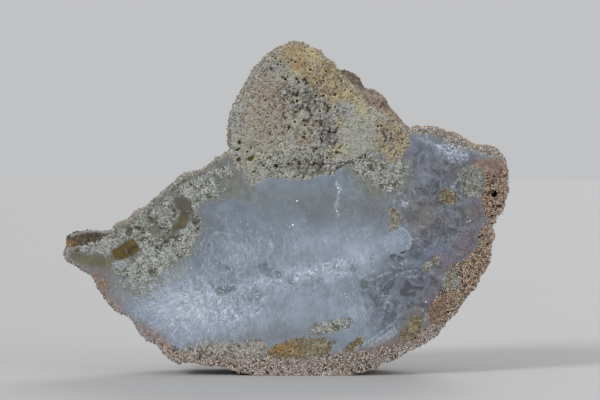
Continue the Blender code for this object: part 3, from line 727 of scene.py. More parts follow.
    v["dim"] = np.clip(1.3 * f.blob(472, 182, 15, 19) + 0.5 * f.blob(450, 280, 9, 12) + 0.5 * f.blob(150, 224, 28, 12, -35), 0, 1)
    v["halo"] = np.clip(1.1 * f.line([(416, 278), (415, 268), (420, 259), (430, 252), (440, 248), (448, 252)], 6.0, 1.0)
                        + 0.8 * f.line([(345, 186), (350, 172), (356, 166)], 6, 1.0) + 0.6 * f.line([(300, 183), (322, 180), (336, 181)], 5, 1.0)
                        + 0.7 * f.line([(455, 164), (463, 160), (472, 158), (482, 161)], 4, 1.0)
                        + 0.7 * f.line([(262, 344), (275, 338), (290, 334), (303, 330)], 4, 1.0), 0, 1)
    v["web"] = np.clip(1.0 * f.area([(400, 150), (440, 150), (470, 165), (480, 215), (470, 250), (430, 260), (400, 245), (395, 200)], 12, 4, 1)
                       + 0.6 * f.area([(355, 150), (400, 190), (400, 240), (350, 235), (340, 190)], 10, 4, 1), 0, 1)

    # colours of the hump
    v["tan"] = np.clip(f.area([(248, 140), (244, 110), (252, 85), (268, 75), (288, 80), (290, 110), (280, 140), (262, 150)], 10, 4, 2), 0, 1)
    v["pinkish"] = np.clip(0.6 * f.blob(279, 97, 13, 14) + 0.9 * f.blob(292, 48, 12, 5) + 0.5 * f.blob(380, 100, 16, 12) + 0.4 * f.blob(262, 70, 12, 7), 0, 1)
    v["ochre"] = np.clip(
        f.area([(280, 45), (300, 42), (322, 52), (338, 68), (352, 82), (355, 100), (345, 108), (335, 100), (325, 104),
                (318, 92), (305, 84), (296, 72), (288, 68), (278, 58)], 5, 5, 3)
        + 0.85 * f.area([(376, 122), (400, 120), (410, 140), (402, 158), (390, 162), (378, 150), (372, 140)], 5, 4, 2)
        + 0.6 * f.blob(314, 125, 14, 7) + 0.8 * f.blob(265, 56, 12, 5, -35) + 0.15 * f.blob(248, 160, 12, 8)
        + 0.6 * f.blob(304, 140, 10, 8), 0, 1)
    v["yellow"] = np.clip(f.blob(363, 112, 7, 9, 20) + f.blob(338, 150, 9, 7) + 0.7 * f.blob(310, 55, 14, 8) + 0.5 * f.blob(300, 72, 10, 7)
                          + 0.7 * f.blob(345, 95, 9, 6) + 0.7 * f.blob(357, 103, 7, 7) + 0.8 * f.blob(341, 122, 5, 8), 0, 1)
    v["purple"] = np.clip(f.blob(327, 132, 11, 17) + 0.9 * f.blob(294, 92, 12, 9) + 0.6 * f.blob(305, 110, 16, 10)
                          + 0.6 * f.blob(270, 66, 6, 5) + 0.4 * f.blob(390, 135, 10, 8), 0, 1)
    v["pale"] = np.clip(1.1 * f.blob(358, 137, 19, 22) + 0.5 * f.blob(245, 150, 16, 24) + 0.4 * f.blob(300, 170, 50, 9), 0, 1)

    # how far each point is sunk below the cut
    sponge = np.clip(hump + rim * 0.9 + bottom * 0.8 + upper * 0.6, 0, 1)
    mossy = np.clip(v["moss"] + v["yellow_moss"] + v["gold"] + v["dendrite"], 0, 1)
    grain = smooth_noise(p, 1.6, 31.0)
    rough = smooth_noise(p, 5.0, 32.0, 2)
    sunk = sponge * (0.00040 * pits * (1 + 0.8 * large) + 0.00007 * grain + 0.00010 * rough + 0.00008 + 0.00010 * (number - 0.5) * cluster)
    sunk += mossy * (1 - hump) * (0.00026 * (1 - threads) + 0.00004 * grain)
    sunk += 0.00075 * olive * hump
    sunk += hump * (0.00050 * cleft + 0.00045 * v["dot"] - 0.00010 * v["nodule"] - 0.00006 * v["ring"]) + 0.0005 * shadowed_recess
    sunk += 0.00012 * v["glassy"] + 0.00055 * v["cavity"] * np.clip(rim + bottom + 0.6 * upper, 0, 1) * (1 - hump)
    sunk += 0.0022 * hole(494.5, 194.5, 2.6, 3.6, 20) + 0.0013 * hole(497, 206, 4.2, 1.6, 8) + 0.0008 * hole(481.5, 196, 1.8, 1.3)
    sunk += 0.0009 * voids + 0.00022 * grey_voids
    agate = 1 - np.clip(sponge + mossy, 0, 1)
    sunk += agate * (0.00002 * rough + 0.000012 * grain)
    v["agate"] = agate
    return v, sunk


def sawn_face(edge):
    inner = face_points(edge)
    faces = triangulate(edge, inner)
    flat = np.concatenate([edge, inner])
    p = sheet(flat)
    lip = np.ones(len(flat))
    n = len(edge)
    d = gap(p[n:], sheet(edge[::2])) * 0.26
    values, sunk = face_fields(p, np.concatenate([np.zeros(n), d]))
    round_off = np.zeros(len(flat))
    round_off[n:] = 0.00030 * np.exp(-d / 0.22)
    round_off[:n] = 0.00034
    lip[:n] = 0.0
    lip[n:] = step(0.0, 0.5, d)
    y = FRONT + np.maximum(sunk, 0.0) * lip + round_off
    points = np.stack([flat[:, 0], y, flat[:, 1]], 1)
    # the outline runs anticlockwise seen from the front, so these triangles already look towards -Y
    obj = mesh_object("sawn_face", points, faces)
    # 1 at the outline, falling off inwards: the materials lighten the colour there as a painted highlight along the
    #                                        edge
    values["edge"] = np.concatenate([np.ones(n), 1 - step(0.0, 1.2, d)])
    for name, value in values.items():
        put(obj, name, value)
    print("sawn_face", len(points), "points", len(faces), "triangles")
    return obj, y[:n], points, values


# ---- rim and back --------------------------------------------------------------------------
def fullness(edge, points):
    grid = 0.001
    low = edge.min(0) - 2 * grid
    shape = tuple(np.ceil((edge.max(0) + 2 * grid - low) / grid).astype(int) + 1)
    x, z = np.meshgrid(np.arange(shape[0]), np.arange(shape[1]), indexing="ij")
    within = inside(np.stack([x.ravel(), z.ravel()], 1) * grid + low, edge).reshape(shape)
    u = np.zeros(shape)
    for _ in range(4000):
        u[1:-1, 1:-1] = (u[2:, 1:-1] + u[:-2, 1:-1] + u[1:-1, 2:] + u[1:-1, :-2] + 1.0) / 4
        u[~within] = 0
    u = u / u.max()
    for _ in range(3):
        u[1:-1, 1:-1] = (u[2:, 1:-1] + u[:-2, 1:-1] + u[1:-1, 2:] + u[1:-1, :-2] + 4 * u[1:-1, 1:-1]) / 8
    p = np.clip((points - low) / grid, 0, np.array(shape) - 1.001)
    i = p.astype(int)
    f = p - i
    f = f * f * (3 - 2 * f) * 0.3 + f * 0.7
    return (u[i[:, 0], i[:, 1]] * (1 - f[:, 0]) * (1 - f[:, 1]) + u[i[:, 0] + 1, i[:, 1]] * f[:, 0] * (1 - f[:, 1])
            + u[i[:, 0], i[:, 1] + 1] * (1 - f[:, 0]) * f[:, 1] + u[i[:, 0] + 1, i[:, 1] + 1] * f[:, 0] * f[:, 1])


def rind(edge, wide, out, edge_y):
    n = len(edge)
    rows = 26
    rings = [np.stack([edge[:, 0], edge_y, edge[:, 1]], 1)]
    for k in range(1, rows + 1):
        s = (k / rows) ** 1.25
        xz = edge + (wide - edge) * math.sin(s * math.pi / 2)
        y = FRONT + waist(xz[:, 0], xz[:, 1]) * s
        y = np.maximum(y, edge_y + 0.00015 * k)
        at = np.stack([xz[:, 0], y, xz[:, 1]], 1)
        lump = swelling(at) * s * step(0.002, 0.012, wide[:, 1])
        at[:, 0] += out[:, 0] * lump
        at[:, 2] = np.maximum(0, at[:, 2] + out[:, 1] * lump)
        rings.append(at)
    last = rings[-1]
    rim_line = last[:, [0, 2]]
    inner = spread(rim_line.min(0), rim_line.max(0), 0.00058)
    inner = inner[inside(inner, rim_line)]
    d = gap(inner * 1000, rim_line[::3] * 1000)
    inner, d = inner[d > 0.3], d[d > 0.3]
    full = np.clip(fullness(rim_line[::6], inner), 0.004, 1)
    near = FRONT + waist(inner[:, 0], inner[:, 1])
    profile = np.sqrt(1 - np.exp(-d / 1.2)) * full ** 0.42
    y = near + (FRONT + DEPTH - near) * profile
    at = np.stack([inner[:, 0], y, inner[:, 1]], 1)
    at[:, 1] += swelling(at) * 1.8 * step(0, 4, d) * step(0.001, 0.014, inner[:, 1])
    back_faces = triangulate(rim_line, inner)[:, ::-1]
    base = (len(rings) - 1) * n
    back_faces = np.where(back_faces < n, back_faces + base, back_faces + base)
    points = np.concatenate(rings + [at])
    i = np.arange(n)
    j = (i + 1) % n
    sides = []
    for k in range(len(rings) - 1):
        a, b = k * n, (k + 1) * n
        sides.append(np.stack([a + i, b + i, b + j], 1))
        sides.append(np.stack([a + i, b + j, a + j], 1))
    faces = np.concatenate(sides + [back_faces])
    return points, faces, n


def rind_piece(edge, wide, out, edge_y):
    points, faces, n = rind(edge, wide, out, edge_y)
    obj = mesh_object("rind_and_back", points, faces)
    normal = np.empty(len(points) * 3, np.float32)
    obj.data.vertex_normals.foreach_get("vector", normal)
    normal = normal.reshape(-1, 3).astype(float)
    mm = points * 1000
    knobs = 0.5 * smooth_noise(mm, 6.5, 41.0, 2) + 0.28 * smooth_noise(mm, 2.6, 42.0, 2)
    c1, c2, number = cells(mm, 2.1, 4.0)
    grains = (0.5 - c1) * 0.45
    e1, e2, enumber = cells(mm, 0.95, 5.0)
    fine = (0.5 - e1) * 0.20
    q1, _, qn = cells(mm, 1.5, 6.0)
    pits = (1 - step(0.16, 0.36, q1)) * step(0.45, 0.6, qn)
    q3, _, qn3 = cells(mm, 4.6, 7.0)
    large = (1 - step(0.12, 0.30, q3)) * step(0.5, 0.6, qn3)
    pits = np.maximum(pits, large)
    height = (knobs + grains + fine) * 0.00075 - pits * 0.00038 - large * 0.0004
    depth = points[:, 1] - FRONT
    calm = step(0.0, 0.0014, depth)
    foot = step(0.0004, 0.003, points[:, 2])
    move = height * (0.35 + 0.65 * calm) * foot
    move[:n] = 0
    move = np.clip(move, -0.0012, 0.0010)
    points = points + normal * move[:, None]
    points[:, 2] = np.maximum(points[:, 2], 0)
    obj.data.vertices.foreach_set("co", points.astype(np.float32).ravel())
    obj.data.update()
    p = sheet(points[:, [0, 2]])
    f = Face(p)
    fields = {"pits": pits, "height": np.clip(height / 0.0008 * 0.5 + 0.5, 0, 1), "depth_mm": depth * 1000}
    behind = step(0.004, 0.012, depth)
    fields["orange"] = (np.clip(step(440, 480, p[:, 0]) + 0.3 * f.blob(120, 300, 50, 40) + 0.25 * f.wide_wobble, 0, 1))
    fields["ochre"] = (np.clip(f.blob(310, 60, 50, 30) * (1 - 0.4 * behind) + 0.7 * f.blob(390, 140, 25, 30)
                              + 0.9 * f.blob(85, 238, 26, 6) * (1 - behind), 0, 1))
    fields["pink"] = (np.clip(step(330, 372, p[:, 1]) + f.blob(385, 98, 24, 16) + f.blob(130, 310, 50, 50) * 0.8
                             + f.blob(455, 130, 50, 14) * 0.8, 0, 1))
    fields["grey"] = (1 - step(255, 285, p[:, 0])) * (1 - step(246, 258, p[:, 1])) * (1 - behind)
    fields["crest"] = f.line([(70, 236), (80, 232.5), (95, 231), (105, 233), (112, 229)], 2.6, 0.4) * (1 - behind)
    fields["amber"] = 0.6 * f.blob(70, 244, 7, 4.5)
    fields["ledge"] = f.area([(60, 228), (80, 226), (112, 228), (108, 238), (96, 246), (62, 250)], 4, 1.5, 1.5)
    fields["dark"] = (np.clip(f.blob(352, 76, 18, 11) * 1.3 + 0.45 * f.blob(384, 102, 20, 14) + f.blob(86, 238, 24, 8) * 1.0 + 0.4 * behind * (f.wide_wobble * 0.5 + 0.3), 0, 1))
    for name, value in fields.items():
        put(obj, name, value)
    # each point's share of the surface, so that grains are spread evenly
    room = np.zeros(len(points))
    a, b, c = (points[faces[:, k]] for k in range(3))
    area = np.linalg.norm(np.cross(b - a, c - a), axis=1) / 6
    for k in range(3):
        np.add.at(room, faces[:, k], area)
    fields["room"] = room / room.mean()
    print("rind_and_back", len(points), "points", len(faces), "triangles")
    return obj, fields


# ---- materials -------------------------------------------------------------------------------
def colour(r, g, b):
    """0 to 255 display values to a linear colour."""
    def one(c):
        c /= 255.0
        return c / 12.92 if c <= 0.04045 else ((c + 0.055) / 1.055) ** 2.4
    return (one(r), one(g), one(b), 1.0)


class Graph:
    """A material's nodes, built as expressions."""

    def __init__(self, name):
        self.material = bpy.data.materials.new(name)
        self.material.use_nodes = True
        self.nodes = self.material.node_tree.nodes
        self.links = self.material.node_tree.links
        self.shader = self.nodes["Principled BSDF"]
        self.mm = None

    def node(self, kind, **settings):
        n = self.nodes.new(kind)
        for k, v in settings.items():
            setattr(n, k, v)
        return n

    def feed(self, socket, value):
        if isinstance(value, bpy.types.NodeSocket):
            self.links.new(value, socket)
        elif value is not None:
            socket.default_value = value

    def value(self, name):
        return self.node("ShaderNodeAttribute", attribute_name=name).outputs["Fac"]

    def vector(self, name):
        return self.node("ShaderNodeAttribute", attribute_name=name).outputs["Vector"]

    def place(self):
        """Position on the object in millimetres."""
        if self.mm is None:
            where = self.node("ShaderNodeTexCoord").outputs["Object"]
            self.mm = self.scaled(where, (1000, 1000, 1000))
        return self.mm

    def scaled(self, vector, by):
        n = self.node("ShaderNodeVectorMath", operation="MULTIPLY")
        self.feed(n.inputs[0], vector)
        n.inputs[1].default_value = by
        return n.outputs[0]

    def shifted(self, vector, by):
        n = self.node("ShaderNodeVectorMath", operation="ADD")
        self.feed(n.inputs[0], vector)
        self.feed(n.inputs[1], by)
        return n.outputs[0]

    def math(self, op, a, b=None, c=None, clamp=False):
        n = self.node("ShaderNodeMath", operation=op, use_clamp=clamp)
        for socket, v in zip(n.inputs, (a, b, c)):
            self.feed(socket, v)
        return n.outputs[0]

    def add(self, *values):
        out = values[0]
        for v in values[1:]:
            out = self.math("ADD", out, v)
        return out

    def mul(self, *values):
        out = values[0]
        for v in values[1:]:
            out = self.math("MULTIPLY", out, v)
        return out

    def less(self, a, b):
        return self.math("SUBTRACT", a, b)

    def band(self, value, low, high, to=(0.0, 1.0)):
        n = self.node("ShaderNodeMapRange", interpolation_type="SMOOTHSTEP")
        self.feed(n.inputs[0], value)
        for i, v in enumerate((low, high, *to)):
            n.inputs[i + 1].default_value = v
        return n.outputs[0]

    def mix(self, amount, a, b, blend="MIX"):
        n = self.node("ShaderNodeMix", data_type="RGBA", blend_type=blend, clamp_factor=True)
        self.feed(n.inputs["Factor"], amount)
        self.feed(n.inputs[6], a)
        self.feed(n.inputs[7], b)
        return n.outputs[2]

    def ramp(self, value, stops):
        n = self.node("ShaderNodeValToRGB")
        self.feed(n.inputs[0], value)
        elements = n.color_ramp.elements
        while len(elements) < len(stops):
            elements.new(0.5)
        for e, (at, c) in zip(elements, stops):
            e.position, e.color = at, c
        return n.outputs[0]

    def noise(self, vector, size, detail=2.0, rough=0.5, warp=0.0):
        """0 to 1, with lumps about `size` millimetres across."""
        n = self.node("ShaderNodeTexNoise")
        self.feed(n.inputs["Vector"], vector)
        n.inputs["Scale"].default_value = 1.0 / size
        n.inputs["Detail"].default_value = detail
        n.inputs["Roughness"].default_value = rough
        n.inputs["Distortion"].default_value = warp
        return n.outputs[0]

    def cells(self, vector, size, feature="F1", out="Distance", random=1.0):
        n = self.node("ShaderNodeTexVoronoi", feature=feature)
        self.feed(n.inputs["Vector"], vector)
        n.inputs["Scale"].default_value = 1.0 / size
        n.inputs["Randomness"].default_value = random
        return n.outputs[out]

    def warped(self, vector, size, amount):
        """The vector moved about by noise, in millimetres."""
        n = self.node("ShaderNodeTexNoise")
        self.feed(n.inputs["Vector"], vector)
        n.inputs["Scale"].default_value = 1.0 / size
        n.inputs["Detail"].default_value = 1.0
        centred = self.shifted(n.outputs[1], (-0.5, -0.5, -0.5))
        return self.shifted(vector, self.scaled(centred, (amount, amount, amount)))

    def bump(self, *layers):
        """Each layer is (height 0 to 1, strength, depth in metres)."""
        normal = None
        for height, strength, depth in layers:
            n = self.node("ShaderNodeBump")
            n.inputs["Strength"].default_value = strength
            n.inputs["Distance"].default_value = depth
            self.feed(n.inputs["Height"], height)
            if normal is not None:
                self.feed(n.inputs["Normal"], normal)
            normal = n.outputs[0]
        self.feed(self.shader.inputs["Normal"], normal)


def face_material():
    g = Graph("agate_sawn")
    mm = g.place()
    v = g.value

    # chalcedony: dark and smoky to milky blue-white, with quartz fibres and sugary grains
    def strands(flow, size, squeeze, seed):
        moved = g.shifted(g.warped(flow, 2.2, 0.8), (seed, seed * 0.37, 0.0))
        return g.noise(g.scaled(moved, (1.0, squeeze, 1.0)), size, 2.0, 0.62, 0.25)
    fine = g.mix(v("ray_part"), strands(g.vector("flow"), 0.36, 0.17, 3.0), strands(g.vector("rays"), 0.40, 0.16, 11.0))
    fine = g.mix(v("arc_part"), fine, strands(g.vector("arcs"), 0.42, 0.22, 19.0))
    wide = g.mix(v("ray_part"), strands(g.vector("flow"), 1.05, 0.20, 31.0), strands(g.vector("rays"), 1.15, 0.18, 37.0))
    wide = g.mix(v("arc_part"), wide, strands(g.vector("arcs"), 1.1, 0.25, 43.0))
    cloud = g.noise(mm, 5.5, 3.0, 0.55, 0.6)
    middle = g.noise(mm, 1.9, 3.0, 0.6, 0.8)
    fleck = g.noise(mm, 0.55, 2.0, 0.6)
    warp = g.warped(mm, 1.4, 0.8)
    grain = g.node("ShaderNodeSeparateColor")
    g.feed(grain.inputs[0], g.cells(warp, 0.8, "F1", "Color"))
    grain_value = grain.outputs[0]
    crackle = g.band(g.cells(g.warped(mm, 0.8, 0.5), 1.0, "DISTANCE_TO_EDGE", "Distance"), 0.09, 0.015)
    crackle = g.mul(crackle, g.band(g.noise(mm, 1.3, 2.0, 0.6), 0.48, 0.64))
    fibres = v("fibres")
    streaky = g.add(fibres, g.mul(v("ray_part"), 0.55), g.mul(v("arc_part"), 0.35))
    sugar = v("sugar")
    tone = v("tone")
    tone = g.add(tone, g.mul(g.less(cloud, 0.5), 0.36), g.mul(g.less(middle, 0.5), g.add(g.mul(v("smoky"), 0.14), 0.30)), g.mul(g.less(fleck, 0.5), 0.18))
    tone = g.add(tone, g.mul(g.less(fine, 0.5), g.add(g.mul(streaky, 0.62), 0.05)))
    tone = g.add(tone, g.mul(g.less(wide, 0.5), g.add(g.mul(streaky, 0.62), 0.10)))
    slivers = g.band(fine, 0.62, 0.74)
    tone = g.add(tone, g.mul(g.mul(slivers, streaky), 0.16))
    tone = g.add(tone, g.mul(g.less(grain_value, 0.48), g.mul(sugar, 0.40)))
    tone = g.add(tone, g.mul(crackle, g.mul(sugar, 0.34)))
    agate = g.ramp(tone, [
        (0.0, colour(66, 70, 75)), (0.22, colour(92, 98, 105)), (0.42, colour(113, 122, 131)),
        (0.58, colour(131, 142, 155)), (0.74, colour(152, 162, 178)), (0.88, colour(176, 185, 200)), (1.0, colour(210, 217, 230))])

    smoky = g.mul(v("smoky"), g.band(middle, 0.25, 0.65, (0.6, 1.0)))
    smoke = g.mix(g.band(g.noise(g.warped(mm, 4.0, 2.4), 3.2, 2.5, 0.56, 1.6), 0.36, 0.64), colour(54, 56, 64), colour(122, 125, 138))
    agate = g.mix(g.mul(smoky, 0.68), agate, smoke)
    # pale wisps and threads in the smoky part
    wisp = g.noise(g.warped(mm, 3.0, 1.8), 2.1, 1.0, 0.5, 0.4)
    wisp = g.band(g.math("ABSOLUTE", g.less(wisp, 0.5)), 0.04, 0.0)
    wisp2 = g.noise(g.warped(g.shifted(mm, (9.0, 4.0, 2.0)), 2.0, 1.4), 1.2, 1.0, 0.5, 0.3)
    wisp2 = g.band(g.math("ABSOLUTE", g.less(wisp2, 0.5)), 0.05, 0.0)
    broken = g.band(g.noise(mm, 2.8, 2.0, 0.5), 0.42, 0.62)
    web = g.mul(v("web"), broken)
    agate = g.mix(g.mul(g.mul(wisp, web), 0.55), agate, colour(146, 152, 160))
    agate = g.mix(g.mul(g.mul(wisp2, web), 0.32), agate, colour(142, 146, 152))
    # the darker eye and its blue bands
    ring = g.node("ShaderNodeMath", operation="SINE")
    g.feed(ring.inputs[0], g.mul(g.add(v("band_at"), g.mul(cloud, 0.9)), 7.0))
    ring = g.band(ring.outputs[0], 0.0, 1.0)
    band = v("band")
    agate = g.mix(g.mul(band, 0.5), agate, colour(98, 108, 130))
    agate = g.mix(g.mul(g.mul(band, ring), 0.5), agate, colour(124, 138, 166))
    halo = v("halo")
    agate = g.mix(g.mul(halo, 0.42), agate, colour(104, 116, 140))

    patch = g.noise(mm, 1.8, 3.0, 0.62, 0.5)
    def tint(base, name, amount, c, low=0.28, high=0.62):
        strength = g.mul(v(name), g.band(patch, low, high, (0.45, 1.0)))
        return g.mix(g.mul(strength, amount), base, c)
    agate = tint(agate, "brown", 0.66, g.mix(g.band(fleck, 0.3, 0.7), colour(90, 78, 62), colour(130, 116, 100)))
    agate = tint(agate, "mauve", 0.6, g.mix(g.band(fleck, 0.3, 0.7), colour(92, 74, 82), colour(126, 106, 112)))
    agate = tint(agate, "lilac", 0.40, colour(150, 146, 174))
    agate = tint(agate, "greenish", 0.68, colour(116, 119, 110))
    agate = tint(agate, "warm", 0.72, colour(116, 113, 108))
    agate = tint(agate, "shaded", 0.85, g.mix(g.band(middle, 0.35, 0.65), colour(100, 101, 90), colour(124, 124, 113)))
    agate = tint(agate, "haze", 0.6, g.mix(g.band(fleck, 0.3, 0.7), colour(118, 122, 112), colour(156, 160, 150)))
    agate = g.mix(g.mul(v("drab"), 0.88), agate, g.mix(g.band(middle, 0.35, 0.65), colour(92, 90, 76), colour(114, 114, 102)))
    beads = g.cells(g.warped(mm, 0.5, 0.25), 0.62, "DISTANCE_TO_EDGE", "Distance")
    agate = g.mix(g.mul(g.mul(v("lobe"), g.band(beads, 0.12, 0.03)), 0.5), agate, colour(164, 176, 194))
    agate = g.mix(g.mul(g.mul(v("lobe"), g.band(beads, 0.2, 0.4)), 0.3), agate, colour(110, 122, 138))
    agate = g.mix(v("window_grey"), agate, g.mix(g.band(fleck, 0.3, 0.7), colour(74, 73, 66), colour(94, 92, 82)))
    olive = g.mix(g.band(middle, 0.35, 0.65), colour(62, 51, 20), colour(92, 76, 32))
    agate = g.mix(g.mul(v("green"), 0.85), agate, g.mix(g.band(patch, 0.3, 0.7), colour(84, 80, 52), colour(112, 106, 80)))
    agate = g.mix(v("window"), agate, olive)
    agate = g.mix(g.mul(v("glassy"), 0.85), agate, g.mix(g.band(middle, 0.3, 0.7), colour(84, 92, 98), colour(110, 119, 127)))
    agate = g.mix(g.mul(v("voids"), 0.75), agate, g.mix(g.band(fleck, 0.3, 0.7), colour(74, 80, 86), colour(104, 110, 116)))
    near_void = g.mul(g.mul(v("voids"), g.less(1.0, v("voids"))), 1.3)
    agate = g.mix(g.mul(near_void, g.band(fleck, 0.46, 0.62)), agate, colour(186, 194, 208))
    white = g.mul(v("white"), g.band(g.noise(mm, 0.62, 2.0, 0.6), 0.40, 0.64, (0.10, 1.0)))
    agate = g.mix(g.mul(white, 0.85), agate, colour(192, 200, 214))
    rust = g.mul(v("rust"), g.band(patch, 0.3, 0.6, (0.25, 1.0)))
    agate = g.mix(g.mul(rust, 0.85), agate, g.mix(g.band(fleck, 0.35, 0.7), colour(106, 76, 58), colour(152, 118, 96)))

    # moss: pale threads over darker, greener depths
    fine_thread = g.noise(g.warped(mm, 0.9, 0.5), 0.42, 1.0, 0.5)
    fine_thread = g.band(g.math("ABSOLUTE", g.less(fine_thread, 0.5)), 0.10, 0.01)
    threads = g.math("MAXIMUM", g.band(v("threads"), 0.15, 0.85), g.mul(fine_thread, 0.75))
    thread_tone = g.band(g.noise(mm, 0.8, 2.0, 0.6), 0.3, 0.7)
    depths = g.mix(g.band(patch, 0.35, 0.65), colour(32, 31, 24), colour(62, 61, 53))
    depths = g.mix(g.mul(v("dim"), 0.8), depths, colour(42, 38, 34))
    depths = g.mix(g.mul(g.less(1.0, v("open")), 0.5), depths, colour(100, 100, 90))
    depths = g.mix(g.mul(g.band(v("bunch"), 0.0, 0.45), 0.55), depths, colour(116, 117, 106))
    depths = g.mix(g.mul(v("hollow"), 0.8), depths, g.mix(g.band(patch, 0.4, 0.6), colour(34, 30, 18), colour(80, 72, 46)))
    light = g.mix(thread_tone, colour(134, 136, 126), colour(182, 185, 175))
    light = g.mix(v("shelf"), light, g.mix(thread_tone, colour(136, 129, 121), colour(184, 178, 170)))
    depths = g.mix(g.mul(v("shelf"), 0.6), depths, colour(88, 76, 64))
    moss = g.mix(g.mul(threads, g.less(1.0, g.mul(v("hollow"), 0.75))), depths, light)
    ragged = g.noise(mm, 1.1, 3.0, 0.65)
    tatters = g.noise(mm, 2.6, 4.0, 0.68, 0.6)
    def cover(name):
        return g.band(g.add(v(name), g.mul(g.less(ragged, 0.5), 1.1)), 0.30, 0.70)
    def skirt(name):
        return g.mul(g.band(v(name), 0.0, 0.5), 0.5)
    face = g.mix(g.mul(g.band(v("moss_soft"), 0.0, 0.45), 0.62), agate, g.mix(middle, colour(100, 102, 94), colour(124, 127, 120)))
    mossy = g.band(g.add(v("moss_soft"), g.mul(g.less(tatters, 0.5), 1.5), g.mul(g.less(ragged, 0.5), 0.8)), 0.30, 0.78)
    face = g.mix(mossy, face, moss)
    face = g.mix(g.mul(v("margin"), 0.85), face, g.mix(g.band(g.add(g.mul(middle, 0.6), g.mul(fleck, 0.4)), 0.36, 0.64), colour(84, 82, 74), colour(134, 133, 124)))
    yellow = g.mix(threads, g.mix(g.band(patch, 0.35, 0.65), colour(46, 36, 22), colour(84, 72, 52)),
                   g.mix(thread_tone, colour(118, 107, 80), colour(166, 157, 130)))
    face = g.mix(cover("yellow_moss"), face, yellow)
    gold = g.mix(threads, g.mix(g.band(patch, 0.35, 0.65), colour(88, 76, 52), colour(124, 112, 86)),
                 g.mix(thread_tone, colour(136, 126, 104), colour(168, 160, 138)))
    gold = g.mix(g.mul(v("orange_moss"), 0.8), gold, g.mix(threads, colour(104, 80, 42), colour(176, 144, 92)))
    gold_cover = g.band(g.add(v("gold"), g.mul(g.less(tatters, 0.5), 1.9), g.mul(g.less(ragged, 0.5), 1.2)), 0.28, 0.95)
    face = g.mix(g.mul(cover("gold"), 0.35), face, colour(112, 104, 88))
    face = g.mix(g.mul(gold_cover, 0.92), face, gold)
    dendrite = g.mix(threads, colour(84, 66, 54), g.mix(thread_tone, colour(134, 108, 86), colour(170, 146, 124)))
    face = g.mix(g.mul(cover("dendrite"), 0.92), face, dendrite)

    # porous skin: the lower band, the right rim and the upper band
    pits = v("pits")
    speck = g.cells(g.warped(mm, 0.7, 0.3), 0.5, "F1", "Distance")
    speck = g.band(speck, 0.30, 0.12)
    speck = g.mul(speck, g.band(g.noise(mm, 0.9, 1.0), 0.42, 0.6))
    # dark: pits and hollowed cells painted dark, partly their own dark colour and partly painted shade in the hollows,
    # with dark specks
    dark = g.math("MAXIMUM", g.mul(pits, 0.95), g.mul(speck, 0.6))
    dark = g.math("MAXIMUM", dark, g.band(v("cavity"), 0.15, 0.6))
    body = g.mix(g.band(g.noise(mm, 0.6, 2.0, 0.6), 0.3, 0.7), colour(78, 65, 58), colour(134, 121, 113))
    body = g.mix(g.mul(g.band(patch, 0.42, 0.66), 0.5), body, colour(116, 88, 76))
    band_low = g.mix(g.mul(dark, 0.9), body, colour(40, 30, 24))
    face = g.mix(g.band(g.add(v("bottom"), g.mul(g.less(ragged, 0.5), 1.0)), 0.25, 0.70), face, band_low)
    tan = g.mix(g.band(g.noise(mm, 0.7, 2.0, 0.6), 0.3, 0.7), colour(74, 58, 46), colour(132, 111, 92))
    tan = g.mix(g.mul(g.band(patch, 0.45, 0.7), 0.45), tan, colour(108, 76, 54))
    rim = g.mix(g.mul(dark, 0.9), tan, colour(40, 27, 18))
    face = g.mix(g.mul(v("veil"), 0.8), face, g.mix(g.band(patch, 0.36, 0.64), colour(112, 88, 74), colour(158, 134, 118)))
    face = g.mix(g.mul(g.band(g.add(v("rim"), g.mul(g.less(ragged, 0.5), 1.0)), 0.25, 0.70), g.less(1.0, g.mul(v("veil"), 0.85))), face, rim)
    face = g.mix(g.mul(v("footing"), 0.8), face, colour(116, 100, 90))
    upper = g.mix(g.band(g.noise(mm, 0.8, 3.0, 0.65), 0.36, 0.64), colour(110, 94, 82), colour(172, 162, 152))
    upper = g.mix(g.mul(dark, 0.5), upper, colour(80, 66, 58))
    upper_cover = g.mul(g.band(g.add(v("upper"), g.mul(g.less(ragged, 0.5), 1.0)), 0.3, 0.8), 0.75)
    face = g.mix(upper_cover, face, upper)
    face = g.mix(g.mul(white, 0.7), face, colour(192, 198, 212))

    # the hump: grey-cream sponge with tan, ochre, yellow, lilac and purple-brown parts, and dark pores
    sponge = g.mix(g.band(g.noise(mm, 0.62, 3.0, 0.65), 0.3, 0.7), colour(134, 132, 124), colour(184, 183, 175))
    sponge = tint(sponge, "tan", 0.62, colour(156, 140, 120))
    sponge = tint(sponge, "pinkish", 0.55, colour(162, 136, 120))
    sponge = tint(sponge, "ochre", 0.72, colour(168, 144, 96))
    sponge = tint(sponge, "yellow", 0.75, colour(204, 192, 136))
    sponge = tint(sponge, "lilac", 0.6, colour(164, 164, 178))
    sponge = tint(sponge, "pale", 0.65, colour(146, 149, 139))
    sponge = tint(sponge, "purple", 0.20, colour(140, 130, 132))
    sponge = g.mix(g.mul(v("nodule"), 0.7), sponge, g.mix(g.band(fleck, 0.3, 0.7), colour(166, 165, 162), colour(204, 203, 204)))
    rims = g.band(v("olive"), 0.02, 0.22)
    sponge = g.mix(g.mul(rims, 0.6), sponge, colour(190, 186, 150))
    sponge = g.mix(g.mul(g.mul(rust, v("ochre")), 0.8), sponge, colour(136, 88, 58))
    loose = g.warped(mm, 0.55, 0.4)
    crowd = g.add(g.noise(mm, 2.4, 2.0, 0.6), g.mul(v("cluster"), 0.28), g.mul(v("pale"), -0.18))
    pores = g.mul(g.band(g.cells(loose, 0.95, "F1", "Distance"), 0.34, 0.20), g.band(crowd, 0.38, 0.52))
    pores2 = g.mul(g.band(g.cells(g.shifted(loose, (5.0, 2.0, 7.0)), 1.35, "F1", "Distance"), 0.26, 0.15), g.band(crowd, 0.46, 0.60))
    pores3 = g.mul(g.band(g.cells(g.shifted(loose, (9.0, 4.0, 1.0)), 0.62, "F1", "Distance"), 0.30, 0.20), g.band(crowd, 0.50, 0.62))
    pores = g.math("MAXIMUM", g.math("MAXIMUM", pores, pores2), g.mul(pores3, 0.8))
